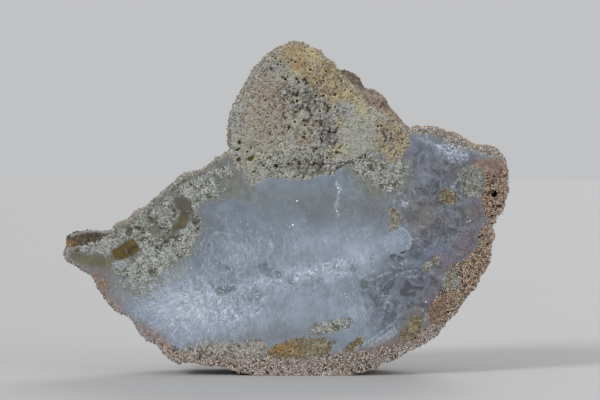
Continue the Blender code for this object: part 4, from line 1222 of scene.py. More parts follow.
    # pits and pores painted dark: partly their own dark colour, partly painted shade in the hollows
    dark_hump = g.math("MAXIMUM", g.mul(pits, 0.85), g.mul(pores, 0.9))
    pore = g.mix(g.band(patch, 0.3, 0.7), colour(44, 36, 30), colour(74, 66, 54))
    pore = g.mix(g.mul(v("purple"), 0.6), pore, colour(48, 34, 36))
    sponge = g.mix(g.mul(dark_hump, 0.92), sponge, pore)
    sponge = g.mix(g.mul(g.band(v("ring"), 0.25, 0.8), 0.65), sponge, g.mix(g.band(fleck, 0.35, 0.7), colour(176, 166, 122), colour(206, 202, 176)))
    # clefts and dot pores painted dark: partly their own colour, partly painted shade in the hollows
    sponge = g.mix(g.mul(g.band(v("cleft"), 0.0, 0.75), 0.9), sponge, g.mix(g.band(v("cleft"), 0.45, 0.95), colour(116, 103, 92), colour(60, 48, 44)))
    sponge = g.mix(g.mul(g.band(v("dot"), 0.2, 0.8), 0.9), sponge, g.mix(g.band(patch, 0.4, 0.6), colour(42, 34, 22), colour(70, 60, 40)))
    sponge = g.mix(g.band(v("olive"), 0.35, 0.7, (0.0, 0.92)), sponge, g.mix(g.band(patch, 0.4, 0.6), colour(58, 52, 20), colour(108, 100, 48)))
    face = g.mix(g.band(g.add(v("hump"), g.mul(g.less(ragged, 0.5), 0.9)), 0.35, 0.65), face, sponge)
    # painted shadow along the groove under the hump
    face = g.mix(g.mul(v("shadowed_recess"), 0.85), face, colour(58, 52, 44))
    # painted shade inside the deep holes
    face = g.mix(v("black"), face, colour(22, 15, 11))
    # lighter along the outline: a painted highlight on the edge
    edge = g.mul(v("edge"), g.band(ragged, 0.35, 0.6, (0.2, 1.0)))
    face = g.mix(g.mul(edge, 0.35), face, colour(150, 140, 126))

    g.feed(g.shader.inputs["Base Color"], face)
    dull = g.math("MAXIMUM", g.math("MAXIMUM", v("hump"), v("bottom")), g.math("MAXIMUM", v("rim"), cover("moss")))
    rough = g.add(g.mul(dull, 0.36), g.band(fleck, 0.3, 0.7, (0.38, 0.52)))
    rough = g.less(rough, g.mul(v("window"), 0.18))
    g.feed(g.shader.inputs["Roughness"], rough)
    g.shader.inputs["Specular IOR Level"].default_value = 0.45
    crystal = g.mul(g.math("MAXIMUM", sugar, fibres), v("agate"))
    porous = g.mul(dull, g.noise(mm, 0.32, 2.0, 0.6))
    g.bump((g.mul(g.add(g.mul(fine, 0.7), g.mul(grain_value, 0.5)), crystal), 0.6, 0.00014),
           (porous, 0.8, 0.00016), (fine_thread, 0.25, 0.00006))
    return g.material


def rind_material():
    g = Graph("agate_rind")
    mm = g.place()
    v = g.value
    patch = g.noise(mm, 7.0, 4.0, 0.6, 0.4)
    small = g.noise(mm, 0.9, 3.0, 0.62)
    base = g.mix(g.band(small, 0.32, 0.68), colour(128, 112, 98), colour(172, 158, 142))
    base = g.mix(g.mul(v("pink"), 0.6), base, g.mix(g.band(small, 0.32, 0.68), colour(136, 112, 102), colour(184, 164, 152)))
    base = g.mix(g.mul(v("orange"), 0.7), base, g.mix(g.band(small, 0.32, 0.68), colour(138, 106, 80), colour(182, 154, 124)))
    base = g.mix(g.mul(v("ochre"), 0.7), base, g.mix(g.band(small, 0.32, 0.68), colour(142, 122, 82), colour(178, 158, 116)))
    base = g.mix(g.mul(g.band(patch, 0.56, 0.70), 0.55), base, colour(142, 98, 74))
    base = g.mix(g.mul(g.band(patch, 0.42, 0.30), 0.6), base, colour(118, 116, 108))
    base = g.mix(g.mul(v("grey"), 0.8), base, g.mix(g.band(small, 0.32, 0.68), colour(102, 98, 88), colour(156, 153, 142)))
    base = g.mix(g.mul(v("dark"), 0.75), base, g.mix(g.band(small, 0.3, 0.7), colour(62, 50, 42), colour(108, 94, 82)))
    base = g.mix(g.mul(v("ledge"), 0.9), base, g.mix(g.band(small, 0.3, 0.7), colour(36, 30, 22), colour(88, 80, 64)))
    base = g.mix(g.mul(v("amber"), v("ledge")), base, g.mix(g.band(small, 0.3, 0.7), colour(84, 54, 20), colour(150, 112, 54)))
    base = g.mix(v("crest"), base, colour(138, 136, 134))
    height = v("height")
    # lighter on the high knobs and darker in the low parts: painted light and shade on the relief
    base = g.mix(g.band(height, 0.50, 0.80, (0.0, 0.35)), base, colour(196, 186, 172))
    base = g.mix(g.band(height, 0.42, 0.16, (0.0, 0.55)), base, colour(84, 68, 54))
    # pits darker: partly their own colour, partly painted shade in them
    base = g.mix(g.mul(v("pits"), 0.75), base, colour(66, 52, 42))
    speck = g.band(g.cells(mm, 0.55, "F1", "Distance"), 0.28, 0.12)
    base = g.mix(g.mul(g.mul(speck, g.band(g.noise(mm, 1.4, 1.0), 0.45, 0.6)), 0.6), base, colour(78, 64, 52))
    g.feed(g.shader.inputs["Base Color"], base)
    g.feed(g.shader.inputs["Roughness"], g.band(small, 0.3, 0.7, (0.92, 0.72)))
    g.shader.inputs["Specular IOR Level"].default_value = 0.35
    g.bump((g.noise(mm, 0.45, 3.0, 0.65), 0.9, 0.00022), (g.noise(mm, 1.6, 2.0, 0.6), 0.5, 0.0004))
    return g.material


def needle_material():
    g = Graph("quartz_needles")
    v = g.value
    n = g.noise(g.place(), 0.4, 2.0, 0.6)
    tone = g.add(g.mul(v("own"), 0.6), g.mul(g.less(n, 0.5), 0.4), g.mul(v("tone"), 0.4))
    base = g.ramp(tone, [(0.0, colour(126, 136, 149)), (0.40, colour(152, 162, 178)), (0.68, colour(200, 209, 223)), (1.0, colour(250, 252, 255))])
    base = g.mix(g.mul(v("smoky"), 0.45), base, colour(146, 151, 158))
    g.feed(g.shader.inputs["Base Color"], base)
    g.feed(g.shader.inputs["Roughness"], g.band(n, 0.3, 0.7, (0.28, 0.45)))
    g.shader.inputs["Specular IOR Level"].default_value = 0.5
    return g.material


def moss_material():
    g = Graph("moss_threads")
    v = g.value
    mm = g.place()
    own = v("own")
    n = g.noise(mm, 0.35, 2.0, 0.6)
    tone = g.add(g.mul(own, 0.8), g.mul(g.less(n, 0.5), 0.5), g.mul(v("open"), 0.12))
    base = g.ramp(tone, [(0.0, colour(98, 100, 92)), (0.3, colour(157, 160, 153)), (0.6, colour(204, 207, 203)), (1.0, colour(248, 251, 249))])
    warm = g.ramp(tone, [(0.0, colour(132, 124, 116)), (0.3, colour(178, 171, 163)), (0.6, colour(216, 210, 203)), (1.0, colour(246, 243, 238))])
    base = g.mix(v("shelf"), base, warm)
    yellow = g.ramp(tone, [(0.0, colour(66, 54, 32)), (0.3, colour(118, 106, 76)), (0.65, colour(174, 164, 132)), (1.0, colour(228, 222, 196))])
    base = g.mix(g.mul(g.band(v("yellow_moss"), 0.15, 0.5), g.less(1.0, g.mul(v("cream"), 0.7))), base, yellow)
    gold = g.ramp(tone, [(0.0, colour(86, 78, 60)), (0.4, colour(140, 131, 106)), (0.7, colour(180, 172, 148)), (1.0, colour(222, 217, 198))])
    gold = g.mix(g.mul(v("orange_moss"), 0.85), gold, g.ramp(tone, [(0.0, colour(104, 74, 32)), (0.4, colour(158, 124, 66)), (0.7, colour(196, 164, 106)), (1.0, colour(230, 208, 160))]))
    base = g.mix(g.band(v("gold"), 0.15, 0.5), base, gold)
    base = g.mix(g.mul(g.band(v("moss_soft"), 0.5, 0.05), g.less(1.0, g.band(g.add(v("yellow_moss"), v("gold"), v("dendrite")), 0.05, 0.3)), 0.5), base, colour(122, 128, 126))
    rust = g.ramp(tone, [(0.0, colour(98, 76, 60)), (0.5, colour(158, 130, 108)), (1.0, colour(214, 194, 174))])
    base = g.mix(g.band(v("dendrite"), 0.15, 0.5), base, rust)
    base = g.mix(g.mul(v("rust"), 0.4), base, rust)
    base = g.mix(g.mul(v("dim"), 0.48), base, colour(100, 96, 88))
    g.feed(g.shader.inputs["Base Color"], base)
    g.feed(g.shader.inputs["Roughness"], g.band(n, 0.3, 0.7, (0.50, 0.74)))
    g.shader.inputs["Specular IOR Level"].default_value = 0.4
    g.bump((n, 0.4, 0.00005))
    return g.material


def sponge_material():
    g = Graph("sponge_threads")
    v = g.value
    mm = g.place()
    n = g.noise(mm, 0.35, 2.0, 0.6)
    tone = g.add(g.mul(v("own"), 0.8), g.mul(g.less(n, 0.5), 0.5), 0.08)
    def shades(low, middle, high):
        return g.ramp(tone, [(0.0, colour(*low)), (0.5, colour(*middle)), (1.0, colour(*high))])
    patch = g.noise(mm, 1.8, 3.0, 0.62, 0.5)
    base = shades((122, 122, 115), (175, 175, 167), (228, 229, 224))
    for name, amount, tones in (("tan", 0.62, ((130, 112, 92), (172, 154, 134), (206, 192, 174))),
                                ("pinkish", 0.6, ((138, 110, 94), (176, 148, 132), (208, 186, 172))),
                                ("ochre", 0.8, ((128, 102, 60), (178, 152, 102), (214, 196, 150))),
                                ("yellow", 0.8, ((166, 152, 104), (212, 198, 148), (238, 230, 190))),
                                ("purple", 0.3, ((104, 92, 92), (156, 149, 149), (208, 205, 207))),
                                ("pale", 0.45, ((128, 132, 122), (160, 164, 154), (194, 198, 190))),
                                ("lilac", 0.55, ((146, 146, 156), (184, 184, 196), (216, 218, 230)))):
        strength = g.mul(v(name), g.band(patch, 0.28, 0.62, (0.4, 1.0)), amount)
        base = g.mix(strength, base, shades(*tones))
    base = g.mix(g.mul(v("nodule"), 0.6), base, shades((150, 149, 147), (188, 188, 188), (226, 226, 228)))
    base = g.mix(g.mul(g.band(v("ring"), 0.25, 0.8), 0.6), base, shades((150, 138, 96), (194, 186, 142), (224, 220, 194)))
    base = g.mix(g.mul(v("rust"), 0.5), base, colour(150, 98, 66))
    g.feed(g.shader.inputs["Base Color"], base)
    g.feed(g.shader.inputs["Roughness"], g.band(n, 0.3, 0.7, (0.60, 0.85)))
    g.shader.inputs["Specular IOR Level"].default_value = 0.4
    g.bump((n, 0.4, 0.00005))
    return g.material


def grain_material():
    g = Graph("rim_grains")
    v = g.value
    mm = g.place()
    n = g.noise(mm, 0.3, 2.0, 0.6)
    patch = g.noise(mm, 2.2, 3.0, 0.6, 0.5)
    tone = g.add(v("own"), g.mul(g.less(n, 0.5), 0.4))
    low = g.ramp(tone, [(0.0, colour(104, 89, 80)), (0.35, colour(150, 136, 127)), (0.65, colour(184, 173, 166)), (1.0, colour(232, 226, 222))])
    red = g.ramp(tone, [(0.0, colour(108, 80, 66)), (0.45, colour(170, 140, 124)), (1.0, colour(222, 202, 190))])
    low = g.mix(g.mul(g.band(patch, 0.48, 0.66), 0.6), low, red)
    tan = g.ramp(tone, [(0.0, colour(96, 74, 58)), (0.35, colour(148, 124, 103)), (0.65, colour(184, 163, 141)), (1.0, colour(228, 215, 198))])
    base = g.mix(g.band(g.less(v("rim"), v("bottom")), -0.1, 0.3), low, tan)
    base = g.mix(g.mul(v("upper"), 0.7), base, g.ramp(tone, [(0.0, colour(118, 100, 88)), (0.4, colour(172, 154, 136)), (0.7, colour(206, 191, 174)), (1.0, colour(236, 228, 218))]))
    base = g.mix(g.mul(v("rust"), 0.75), base, g.ramp(tone, [(0.0, colour(112, 70, 50)), (0.5, colour(164, 116, 90)), (1.0, colour(212, 176, 152))]))
    base = g.mix(g.mul(v("moss"), 0.7), base, g.ramp(tone, [(0.0, colour(110, 108, 94)), (1.0, colour(186, 188, 176))]))
    base = g.mix(g.mul(v("shaded_foot"), 0.2), base, colour(92, 78, 70))
    # grains along the outline lighter: a painted highlight on the edge
    base = g.mix(g.mul(v("edge"), 0.5), base, g.ramp(tone, [(0.0, colour(128, 112, 98)), (0.5, colour(190, 178, 164)), (1.0, colour(240, 234, 224))]))
    g.feed(g.shader.inputs["Base Color"], base)
    g.feed(g.shader.inputs["Roughness"], g.band(n, 0.3, 0.7, (0.55, 0.8)))
    g.shader.inputs["Specular IOR Level"].default_value = 0.45
    g.bump((n, 0.4, 0.00005))
    return g.material


def skin_material():
    g = Graph("skin_grains")
    v = g.value
    mm = g.place()
    n = g.noise(mm, 0.4, 2.0, 0.6)
    # grains standing higher on the rind are a little lighter: painted light on the relief
    tone = g.add(g.mul(v("own"), 0.75), g.mul(g.less(n, 0.5), 0.5), g.mul(v("height"), 0.25))
    def shades(low, middle, high):
        return g.ramp(tone, [(0.0, colour(*low)), (0.5, colour(*middle)), (1.0, colour(*high))])
    base = shades((98, 82, 70), (142, 126, 112), (196, 186, 172))
    base = g.mix(g.mul(v("pink"), 0.6), base, shades((106, 82, 72), (152, 130, 118), (206, 192, 182)))
    base = g.mix(g.mul(v("orange"), 0.7), base, shades((108, 76, 52), (152, 120, 90), (200, 174, 144)))
    base = g.mix(g.mul(v("ochre"), 0.7), base, shades((112, 90, 54), (152, 130, 86), (194, 178, 136)))
    base = g.mix(g.mul(v("grey"), 0.8), base, shades((88, 85, 76), (132, 129, 120), (188, 186, 176)))
    base = g.mix(g.mul(v("dark"), 0.75), base, shades((54, 42, 36), (92, 76, 66), (146, 132, 120)))
    base = g.mix(g.mul(v("ledge"), 0.9), base, shades((34, 28, 20), (66, 58, 46), (126, 118, 104)))
    base = g.mix(g.mul(v("amber"), v("ledge")), base, shades((84, 52, 18), (132, 94, 42), (186, 158, 104)))
    base = g.mix(v("crest"), base, shades((96, 94, 92), (140, 138, 138), (184, 184, 186)))
    g.feed(g.shader.inputs["Base Color"], base)
    g.feed(g.shader.inputs["Roughness"], g.band(n, 0.3, 0.7, (0.65, 0.88)))
    g.shader.inputs["Specular IOR Level"].default_value = 0.4
    g.bump((n, 0.5, 0.0001))
    return g.material


def glint_material():
    g = Graph("quartz_glints")
    n = g.noise(g.place(), 0.5, 1.0)
    # near-white colour and a faint emission: painted glints, the points glow a little though they are no lamp
    g.feed(g.shader.inputs["Base Color"], g.mix(g.band(n, 0.3, 0.7), colour(222, 228, 238), colour(250, 251, 255)))
    g.shader.inputs["Roughness"].default_value = 0.14
    g.feed(g.shader.inputs["Emission Color"], colour(236, 242, 255))
    g.shader.inputs["Emission Strength"].default_value = 0.22
    g.shader.inputs["Specular IOR Level"].default_value = 0.8
    return g.material


def floor_material():
    g = Graph("floor_pale")
    n = g.noise(g.place(), 40.0, 2.0)
    g.feed(g.shader.inputs["Base Color"], g.mix(n, colour(181, 181, 181), colour(184, 184, 184)))
    g.shader.inputs["Roughness"].default_value = 0.7
    return g.material


# ---- small quartz points, painted as glints: near-white and faintly glowing ----------------
def quartz_points():
    rng = np.random.default_rng(11)
    places = [(297, 201, 2.2), (293, 225, 2.2), (290, 226.5, 1.5), (192, 268, 2.0), (194, 263, 1.3), (165, 296, 1.8), (163, 324, 1.4),
              (212, 303, 2.0), (211, 306, 1.4), (236, 316, 1.9), (237, 313, 1.2), (425, 250, 1.3), (426, 302, 1.8), (457, 210, 1.2),
              (467, 222, 1.8), (470, 221, 2.0), (338, 188, 2.0), (339, 192, 1.6), (337, 211, 1.8), (338, 214, 1.4),
              (342, 260, 1.8), (344, 262, 1.4), (337, 266, 1.5), (265, 284, 1.4), (262, 281, 1.3), (345, 294, 1.5), (347, 297, 1.3),
              (185, 288, 1.2), (198, 286, 1.4), (200, 289, 1.2), (253, 283, 1.4), (220, 291, 1.2), (355, 228, 1.3), (354, 213, 1.1),
              (310, 276, 1.2), (318, 273, 1.1), (402, 264, 1.3), (171, 318, 1.1), (222, 322, 1.1), (445, 149, 1.4), (451, 154, 1.4),
              (457, 147, 1.2), (407, 203, 1.4), (118, 264, 1.4), (228, 271, 1.2)]
    for _ in range(420):
        t = rng.random()
        if t < 0.5:
            x, y = rng.normal(205, 30), rng.normal(302, 16)
        elif t < 0.8:
            x = rng.uniform(200, 345)
            y = np.interp(x, [s[0] for s in SEAM], [s[1] for s in SEAM]) + rng.normal(0, 7)
        else:
            x, y = rng.normal(455, 14), rng.normal(152, 4)
        places.append((x, y, rng.uniform(0.4, 1.1)))
    outline = sheet(np.array([((x + 0.5) * U, z * U) for x, z in WIDEST]))
    points, faces = [], []
    for x, y, size in places:
        if not inside(np.array([[x, y]]), outline)[0]:
            continue
        r = size * U * (0.50 if size < 1.5 else 0.62)
        centre = np.array([(x - MIDDLE_X) * U, FRONT + 0.00002, (BASE_Y - y) * U])
        lean = rng.normal(0, 0.35, 2)
        tip = centre + np.array([lean[0] * r, -r * 0.55, lean[1] * r])
        base = len(points)
        turn = rng.uniform(0, math.pi)
        squash, way = rng.uniform(0.45, 1.0), rng.uniform(0, math.pi)
        for k in range(6):
            a = turn + k * math.pi / 3
            u, w = math.cos(a) * r, math.sin(a) * r * squash
            points.append(centre + np.array([u * math.cos(way) - w * math.sin(way), 0.00006, u * math.sin(way) + w * math.cos(way)]))
        points.append(tip)
        for k in range(6):
            faces.append((base + k, base + (k + 1) % 6, base + 6))
    obj = mesh_object("quartz_glints", points, faces, smooth=False)
    return obj


# ---- threads and grains standing in the cut and on the skin -------------------------------
def picked(rng, weight, count):
    """Indices of `count` points, more of them where the weight is high."""
    total = np.cumsum(weight)
    return np.searchsorted(total, rng.random(count) * total[-1]).clip(0, len(weight) - 1)


def thread_mesh(name, at, lengths, widths, proud, floor, rng, curl=0.55, steps=4, heading=None, kink=0.4):
    """Short bent threads lying in the sawn face, each a ridge of two slopes whose ends dive under."""
    n = len(at)
    heading = rng.random(n) * 2 * math.pi if heading is None else heading
    bend = rng.normal(0, 1.0, n) * curl
    here = at.copy()
    path, ways = [here], []
    for _ in range(steps):
        heading = heading + bend + rng.normal(0, 1.0, n) * kink
        way = np.stack([np.cos(heading), np.sin(heading)], 1)
        ways.append(way)
        here = here + way * (lengths / steps)[:, None]
        path.append(here)
    ways.append(ways[-1])
    rows = []
    for k, (where, way) in enumerate(zip(path, ways)):
        arch = math.sin(math.pi * (0.08 + 0.84 * k / steps))
        side = np.stack([-way[:, 1], way[:, 0]], 1) * (widths * (0.45 + 0.55 * arch))[:, None]
        top = FRONT + floor - (proud + floor) * arch ** 0.6
        for across, y in ((side, FRONT + floor), (0 * side, top), (-side, FRONT + floor)):
            q = where + across
            rows.append(np.stack([(q[:, 0] - MIDDLE_X) * U, np.broadcast_to(y, n), (BASE_Y - q[:, 1]) * U], 1))
    points = np.stack(rows, 1).reshape(-1, 3)
    base = np.arange(n) * 3 * (steps + 1)
    faces = []
    for k in range(steps):
        for side in (0, 1):
            a, b = base + 3 * k + side, base + 3 * (k + 1) + side
            faces.append(np.stack([a, b, b + 1, a + 1], 1))
    # the ridge looks towards -Y whichever way the thread runs
    faces = np.concatenate(faces)
    obj = mesh_object(name, points, faces)
    print(name, len(points), "points", 2 * len(faces), "triangles")
    return obj, 3 * (steps + 1)


def dome_mesh(name, at, normal, radius, height, rng, sides=6):
    """Small rounded grains on a surface."""
    n = len(at)
    helper = np.where(np.abs(normal[:, 2:3]) > 0.9, [[1.0, 0.0, 0.0]], [[0.0, 0.0, 1.0]])
    u = np.cross(helper, normal)
    u /= np.linalg.norm(u, axis=1)[:, None]
    w = np.cross(normal, u)
    turn = rng.random(n) * 2 * math.pi
    rows = []
    for k in range(sides):
        a = turn + k * 2 * math.pi / sides
        r = radius * (0.75 + 0.5 * rng.random(n))
        rows.append(at - normal * (radius * 0.35)[:, None] + u * (np.cos(a) * r)[:, None] + w * (np.sin(a) * r)[:, None])
    lean = rng.normal(0, 0.22, (2, n)) * radius
    rows.append(at + normal * height[:, None] + u * lean[0][:, None] + w * lean[1][:, None])
    points = np.stack(rows, 1).reshape(-1, 3)
    points[:, 2] = np.maximum(points[:, 2], 0.0)
    base = np.arange(n) * (sides + 1)
    faces = np.concatenate([np.stack([base + k, base + (k + 1) % sides, base + sides], 1) for k in range(sides)])
    obj = mesh_object(name, points, faces)
    print(name, len(points), "points", len(faces), "triangles")
    return obj, sides + 1


def carry(obj, per, index, values, names, rng):
    """Gives each small piece the field values of the place it grew from, and a number of its own."""
    for name in names:
        put(obj, name, np.repeat(values[name][index], per))
    put(obj, "own", np.repeat(rng.random(len(index)), per))


def moss_threads(points, v):
    rng = np.random.default_rng(21)
    count = 9600
    open_part = v["open"]
    place = sheet(points[:, [0, 2]])
    bunch = v["bunch"]
    soft = v["moss_soft"]
    weight = np.clip(soft ** 1.3 * (1 + 0.5 * bunch), 0, 1) * (soft > 0.04) * (1 - v["hump"]) * (0.015 + step(-0.15, 0.3, bunch)) * (0.12 + 0.88 * v["threads"])
    weight = weight * (1 - 0.94 * v["hollow"]) * (1 - 0.5 * v["dim"])
    weight = weight * (1 - 0.5 * np.exp(-(((place[:, 0] - 380) / 30) ** 2 + ((place[:, 1] - 172) / 18) ** 2)))
    weight = weight + 0.62 * np.clip(v["yellow_moss"] - 0.2, 0, 1) * (0.02 + step(-0.05, 0.3, bunch)) * (1.0 - 0.35 * v["gold"]) + 0.7 * np.clip(v["dendrite"] - 0.2, 0, 1) + 0.75 * np.clip(v["gold"] - 0.2, 0, 1) * (0.12 + step(-0.2, 0.3, bunch))
    weight = weight + 0.10 * np.clip(v["upper"] - 0.3, 0, 1)
    index = picked(rng, weight, count)
    at = sheet(points[index][:, [0, 2]]) + rng.normal(0, 0.3, (count, 2))
    lengths = rng.uniform(1.9, 5.2, count) * (0.8 + 0.4 * open_part[index])
    widths = rng.uniform(0.22, 0.46, count)
    obj, per = thread_mesh("moss_threads", at, lengths, widths, rng.uniform(0.00002, 0.00016, count), 0.00014, rng)
    carry(obj, per, index, v, ("yellow_moss", "gold", "dendrite", "open", "rust", "cream", "moss_soft", "dim", "shelf", "orange_moss"), rng)
    return obj


def quartz_needles(points, v):
    """Straight slivers of quartz lying in the cut: fanned in the lower left, tangled along the seam and round the eye."""
    rng = np.random.default_rng(25)
    count = 8800
    place = sheet(points[:, [0, 2]])
    bunch = smooth_noise(place, 3.2, 66.0) + 0.6 * smooth_noise(place, 8.0, 67.0)
    weight = v["agate"] * (1.3 * v["ray_part"] + 1.1 * v["sugar"] + 0.8 * v["arc_part"] + 0.30 * v["fibres"] + 0.12 * v["web"] + 0.9 * v["white"]) * (1 - 0.9 * v["voids"]) * (1 - np.clip(1.3 * v["glassy"], 0, 1))
    weight = weight * (0.06 + step(-0.1, 0.6, bunch))
    index = picked(rng, weight, count)
    at = sheet(points[index][:, [0, 2]]) + rng.normal(0, 0.4, (count, 2))
    ray = np.arctan2(at[:, 1] - 290, at[:, 0] - 212)
    tangle = rng.random(count) < 0.30 + 0.5 * v["sugar"][index] * (1 - v["ray_part"][index])
    ring = np.arctan2(at[:, 1] - 255, at[:, 0] - 222) + math.pi / 2
    upright = math.pi / 2 + 0.004 * (at[:, 0] - 270)
    heading = np.where(rng.random(count) < v["ray_part"][index], ray, upright)
    heading = np.where(rng.random(count) < v["arc_part"][index] * 0.6, ring, heading)
    heading = np.where(tangle, rng.random(count) * math.pi, heading) + rng.normal(0, 0.16, count)
    lengths = rng.uniform(1.4, 4.6, count) * (1 + 1.6 * rng.random(count) ** 4) * (1 + 0.7 * np.maximum(v["ray_part"], v["arc_part"])[index])
    widths = rng.uniform(0.08, 0.24, count) * (1 + 0.9 * rng.random(count) ** 4)
    lengths = np.clip(np.minimum(lengths, 1.7 * (v["inward"][index] / 0.26 - 1.0)), 0.5, None)
    curl = np.where(tangle, 0.45, 0.10)
    obj, per = thread_mesh("quartz_needles", at, lengths, widths, rng.uniform(0.0, 0.00007, count), 0.00005, rng, curl, 3, heading, 0.10)
    carry(obj, per, index, v, ("tone", "smoky"), rng)
    return obj


def sponge_threads(points, v):
    rng = np.random.default_rng(22)
    count = 6500
    weight = v["hump"] * (1 - 0.97 * np.clip(v["pits"] * 1.6, 0, 1)) * (1 - v["olive"]) * (1 - 0.97 * np.clip(v["cleft"] * 1.6, 0, 1)) * (1 - np.clip(v["dot"] * 1.5, 0, 1)) * (0.15 + 0.85 * np.clip(v["clump"], 0, 1))
    weight = weight * (0.35 + 0.65 * np.clip(v["cluster"], 0, 1))
    weight = weight * (1 - 0.75 * np.clip(v["pale"] - 0.5, 0, 1))
    index = picked(rng, weight, count)
    at = sheet(points[index][:, [0, 2]]) + rng.normal(0, 0.2, (count, 2))
    lengths = rng.uniform(0.9, 2.6, count)
    widths = rng.uniform(0.22, 0.50, count)
    obj, per = thread_mesh("sponge_threads", at, lengths, widths, rng.uniform(0.0, 0.00018, count), 0.00016, rng, 0.7)
    carry(obj, per, index, v, ("tan", "pinkish", "ochre", "yellow", "purple", "pale", "lilac", "rust", "cluster", "nodule", "ring"), rng)
    return obj


def rim_grains(points, v):
    rng = np.random.default_rng(23)
    count = 12500
    weight = np.clip(v["bottom"], 0, 1) * 0.9 + np.clip(v["rim"], 0, 1) * 0.45 + 0.45 * np.clip(v["upper"], 0, 1)
    weight = weight + 0.22 * v["edge"] + 0.25 * np.clip(v["rust"], 0, 1) * v["agate"] * (v["rust"] > 0.45)
    weight = weight * (1 - 0.85 * v["veil"])
    weight = weight * (1 - 0.9 * np.clip(v["pits"], 0, 1)) * (1 - v["black"]) * (1 - 0.97 * np.clip(1.5 * v["cavity"], 0, 1))
    index = picked(rng, weight, count)
    at = points[index] + np.stack([rng.normal(0, 0.00006, count), rng.uniform(-0.00003, 0.00003, count), rng.normal(0, 0.00006, count)], 1)
    radius = rng.uniform(0.00007, 0.00022, count) * (1 + 0.35 * (rng.random(count) ** 4))
    normal = np.stack([rng.normal(0, 0.25, count), -np.ones(count), rng.normal(0, 0.25, count)], 1)
    normal /= np.linalg.norm(normal, axis=1)[:, None]
    obj, per = dome_mesh("rim_grains", at, normal, radius, radius * rng.uniform(0.4, 1.1, count), rng)
    carry(obj, per, index, v, ("bottom", "rim", "upper", "rust", "hump", "moss", "edge", "shaded_foot"), rng)
    return obj


def rim_threads(points, v):
    """Crooked threads of the porous rim and the crust at the foot."""
    rng = np.random.default_rng(26)
    count = 3200
    place = sheet(points[:, [0, 2]])
    weight = np.clip(v["rim"], 0, 1) + 0.35 * np.clip(v["bottom"], 0, 1) + 0.25 * np.clip(v["upper"], 0, 1)
    weight = weight * (0.1 + step(-0.25, 0.3, smooth_noise(place, 3.0, 68.0))) * (1 - v["black"]) * (1 - 0.85 * v["veil"]) * (1 - 0.8 * np.clip(v["pits"], 0, 1)) * (1 - 0.9 * np.clip(1.4 * v["cavity"], 0, 1))
    index = picked(rng, weight, count)
    at = place[index] + rng.normal(0, 0.25, (count, 2))
    obj, per = thread_mesh("rim_threads", at, rng.uniform(1.2, 3.6, count), rng.uniform(0.24, 0.50, count), rng.uniform(0.00004, 0.00022, count), 0.00014, rng, 0.75)
    carry(obj, per, index, v, ("bottom", "rim", "upper", "rust", "hump", "moss", "edge", "shaded_foot"), rng)
    return obj


def skin_grains(obj, fields):
    rng = np.random.default_rng(24)
    count = 32000
    n = len(obj.data.vertices)
    points, normals = np.empty(n * 3, np.float32), np.empty(n * 3, np.float32)
    obj.data.vertices.foreach_get("co", points)
    obj.data.vertex_normals.foreach_get("vector", normals)
    points, normals = points.reshape(-1, 3).astype(float), normals.reshape(-1, 3).astype(float)
    weight = (0.15 + fields["height"] ** 2) * (1 - 0.85 * fields["pits"]) * step(0.0004, 0.002, points[:, 2])
    weight = weight * fields["room"]
    index = picked(rng, weight, count)
    normal = normals[index] + rng.normal(0, 0.2, (count, 3))
    normal /= np.linalg.norm(normal, axis=1)[:, None]
    radius = rng.uniform(0.00012, 0.00042, count) * (0.7 + 0.5 * rng.random(count) ** 3)
    made, per = dome_mesh("skin_grains", points[index] + rng.normal(0, 0.0001, (count, 3)), normal, radius, radius * rng.uniform(0.5, 1.2, count), rng)
    carry(made, per, index, fields, ("orange", "ochre", "pink", "dark", "height", "ledge", "grey", "crest", "amber"), rng)
    return made


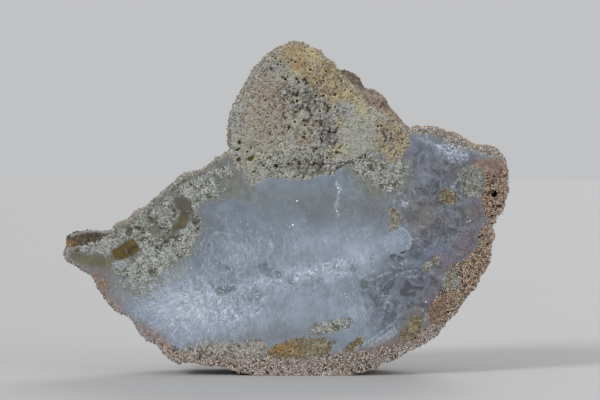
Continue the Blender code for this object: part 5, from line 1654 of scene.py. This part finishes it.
# ---- stage --------------------------------------------------------------------------------
def stage():
    mesh = bpy.data.meshes.new("floor")
    r = 4.0
    mesh.from_pydata([(-r, -r, 0), (r, -r, 0), (r, r, 0), (-r, r, 0)], [], [(0, 1, 2, 3)])
    floor = bpy.data.objects.new("floor", mesh)
    bpy.context.scene.collection.objects.link(floor)
    floor.location.z = -0.00002
    floor.data.materials.append(floor_material())

    world = bpy.data.worlds.new("studio")
    world.use_nodes = True
    background = world.node_tree.nodes["Background"]
    background.inputs[0].default_value = (0.97, 0.98, 1.0, 1)
    background.inputs[1].default_value = 0.55
    bpy.context.scene.world = world

    def lamp(name, place, strength, spread_deg, tone=(1, 1, 1)):
        light = bpy.data.lights.new(name, "SUN")
        light.energy = strength
        light.angle = math.radians(spread_deg)
        light.color = tone
        obj = bpy.data.objects.new(name, light)
        bpy.context.scene.collection.objects.link(obj)
        obj.location = place
        obj.rotation_euler = (-Vector(place)).to_track_quat("-Z", "Y").to_euler()

    lamp("key", (-0.62, -0.62, 0.55), 1.75, 18)
    lamp("fill", (0.75, -0.65, 0.35), 0.55, 40, (0.97, 0.98, 1.0))
    lamp("behind", (0.35, 0.8, 0.7), 0.8, 30)


def camera():
    data = bpy.data.cameras.new("camera")
    away = 0.62
    data.sensor_width = 36.0
    data.lens = 36.0 * away / (600 * U)
    data.clip_start, data.clip_end = 0.01, 50.0
    obj = bpy.data.objects.new("camera", data)
    bpy.context.scene.collection.objects.link(obj)
    x, z = (300 - MIDDLE_X) * U, (BASE_Y - 200) * U
    lift = math.radians(1.2)
    obj.location = (x, FRONT - away * math.cos(lift), z + away * math.sin(lift))
    obj.rotation_euler = (math.radians(90) - lift, 0, 0)
    bpy.context.scene.camera = obj


def main():
    wide, cut, out = fine_outline()
    face, edge_y, face_points_at, values = sawn_face(cut)
    back, fields = rind_piece(cut, wide, out, edge_y)
    face.data.materials.append(face_material())
    back.data.materials.append(rind_material())
    grain = grain_material()
    pieces = [face, back]
    for obj, material in ((quartz_points(), glint_material()), (quartz_needles(face_points_at, values), needle_material()),
                          (moss_threads(face_points_at, values), moss_material()),
                          (sponge_threads(face_points_at, values), sponge_material()),
                          (rim_grains(face_points_at, values), grain), (rim_threads(face_points_at, values), grain), (skin_grains(back, fields), skin_material())):
        obj.data.materials.append(material)
        pieces.append(obj)
    for obj in pieces:
        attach(obj, "root")
    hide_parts("moss_agate")
    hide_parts("moss_agate")
    stage()
    camera()
    bpy.context.scene.view_settings.view_transform = "Standard"


main()
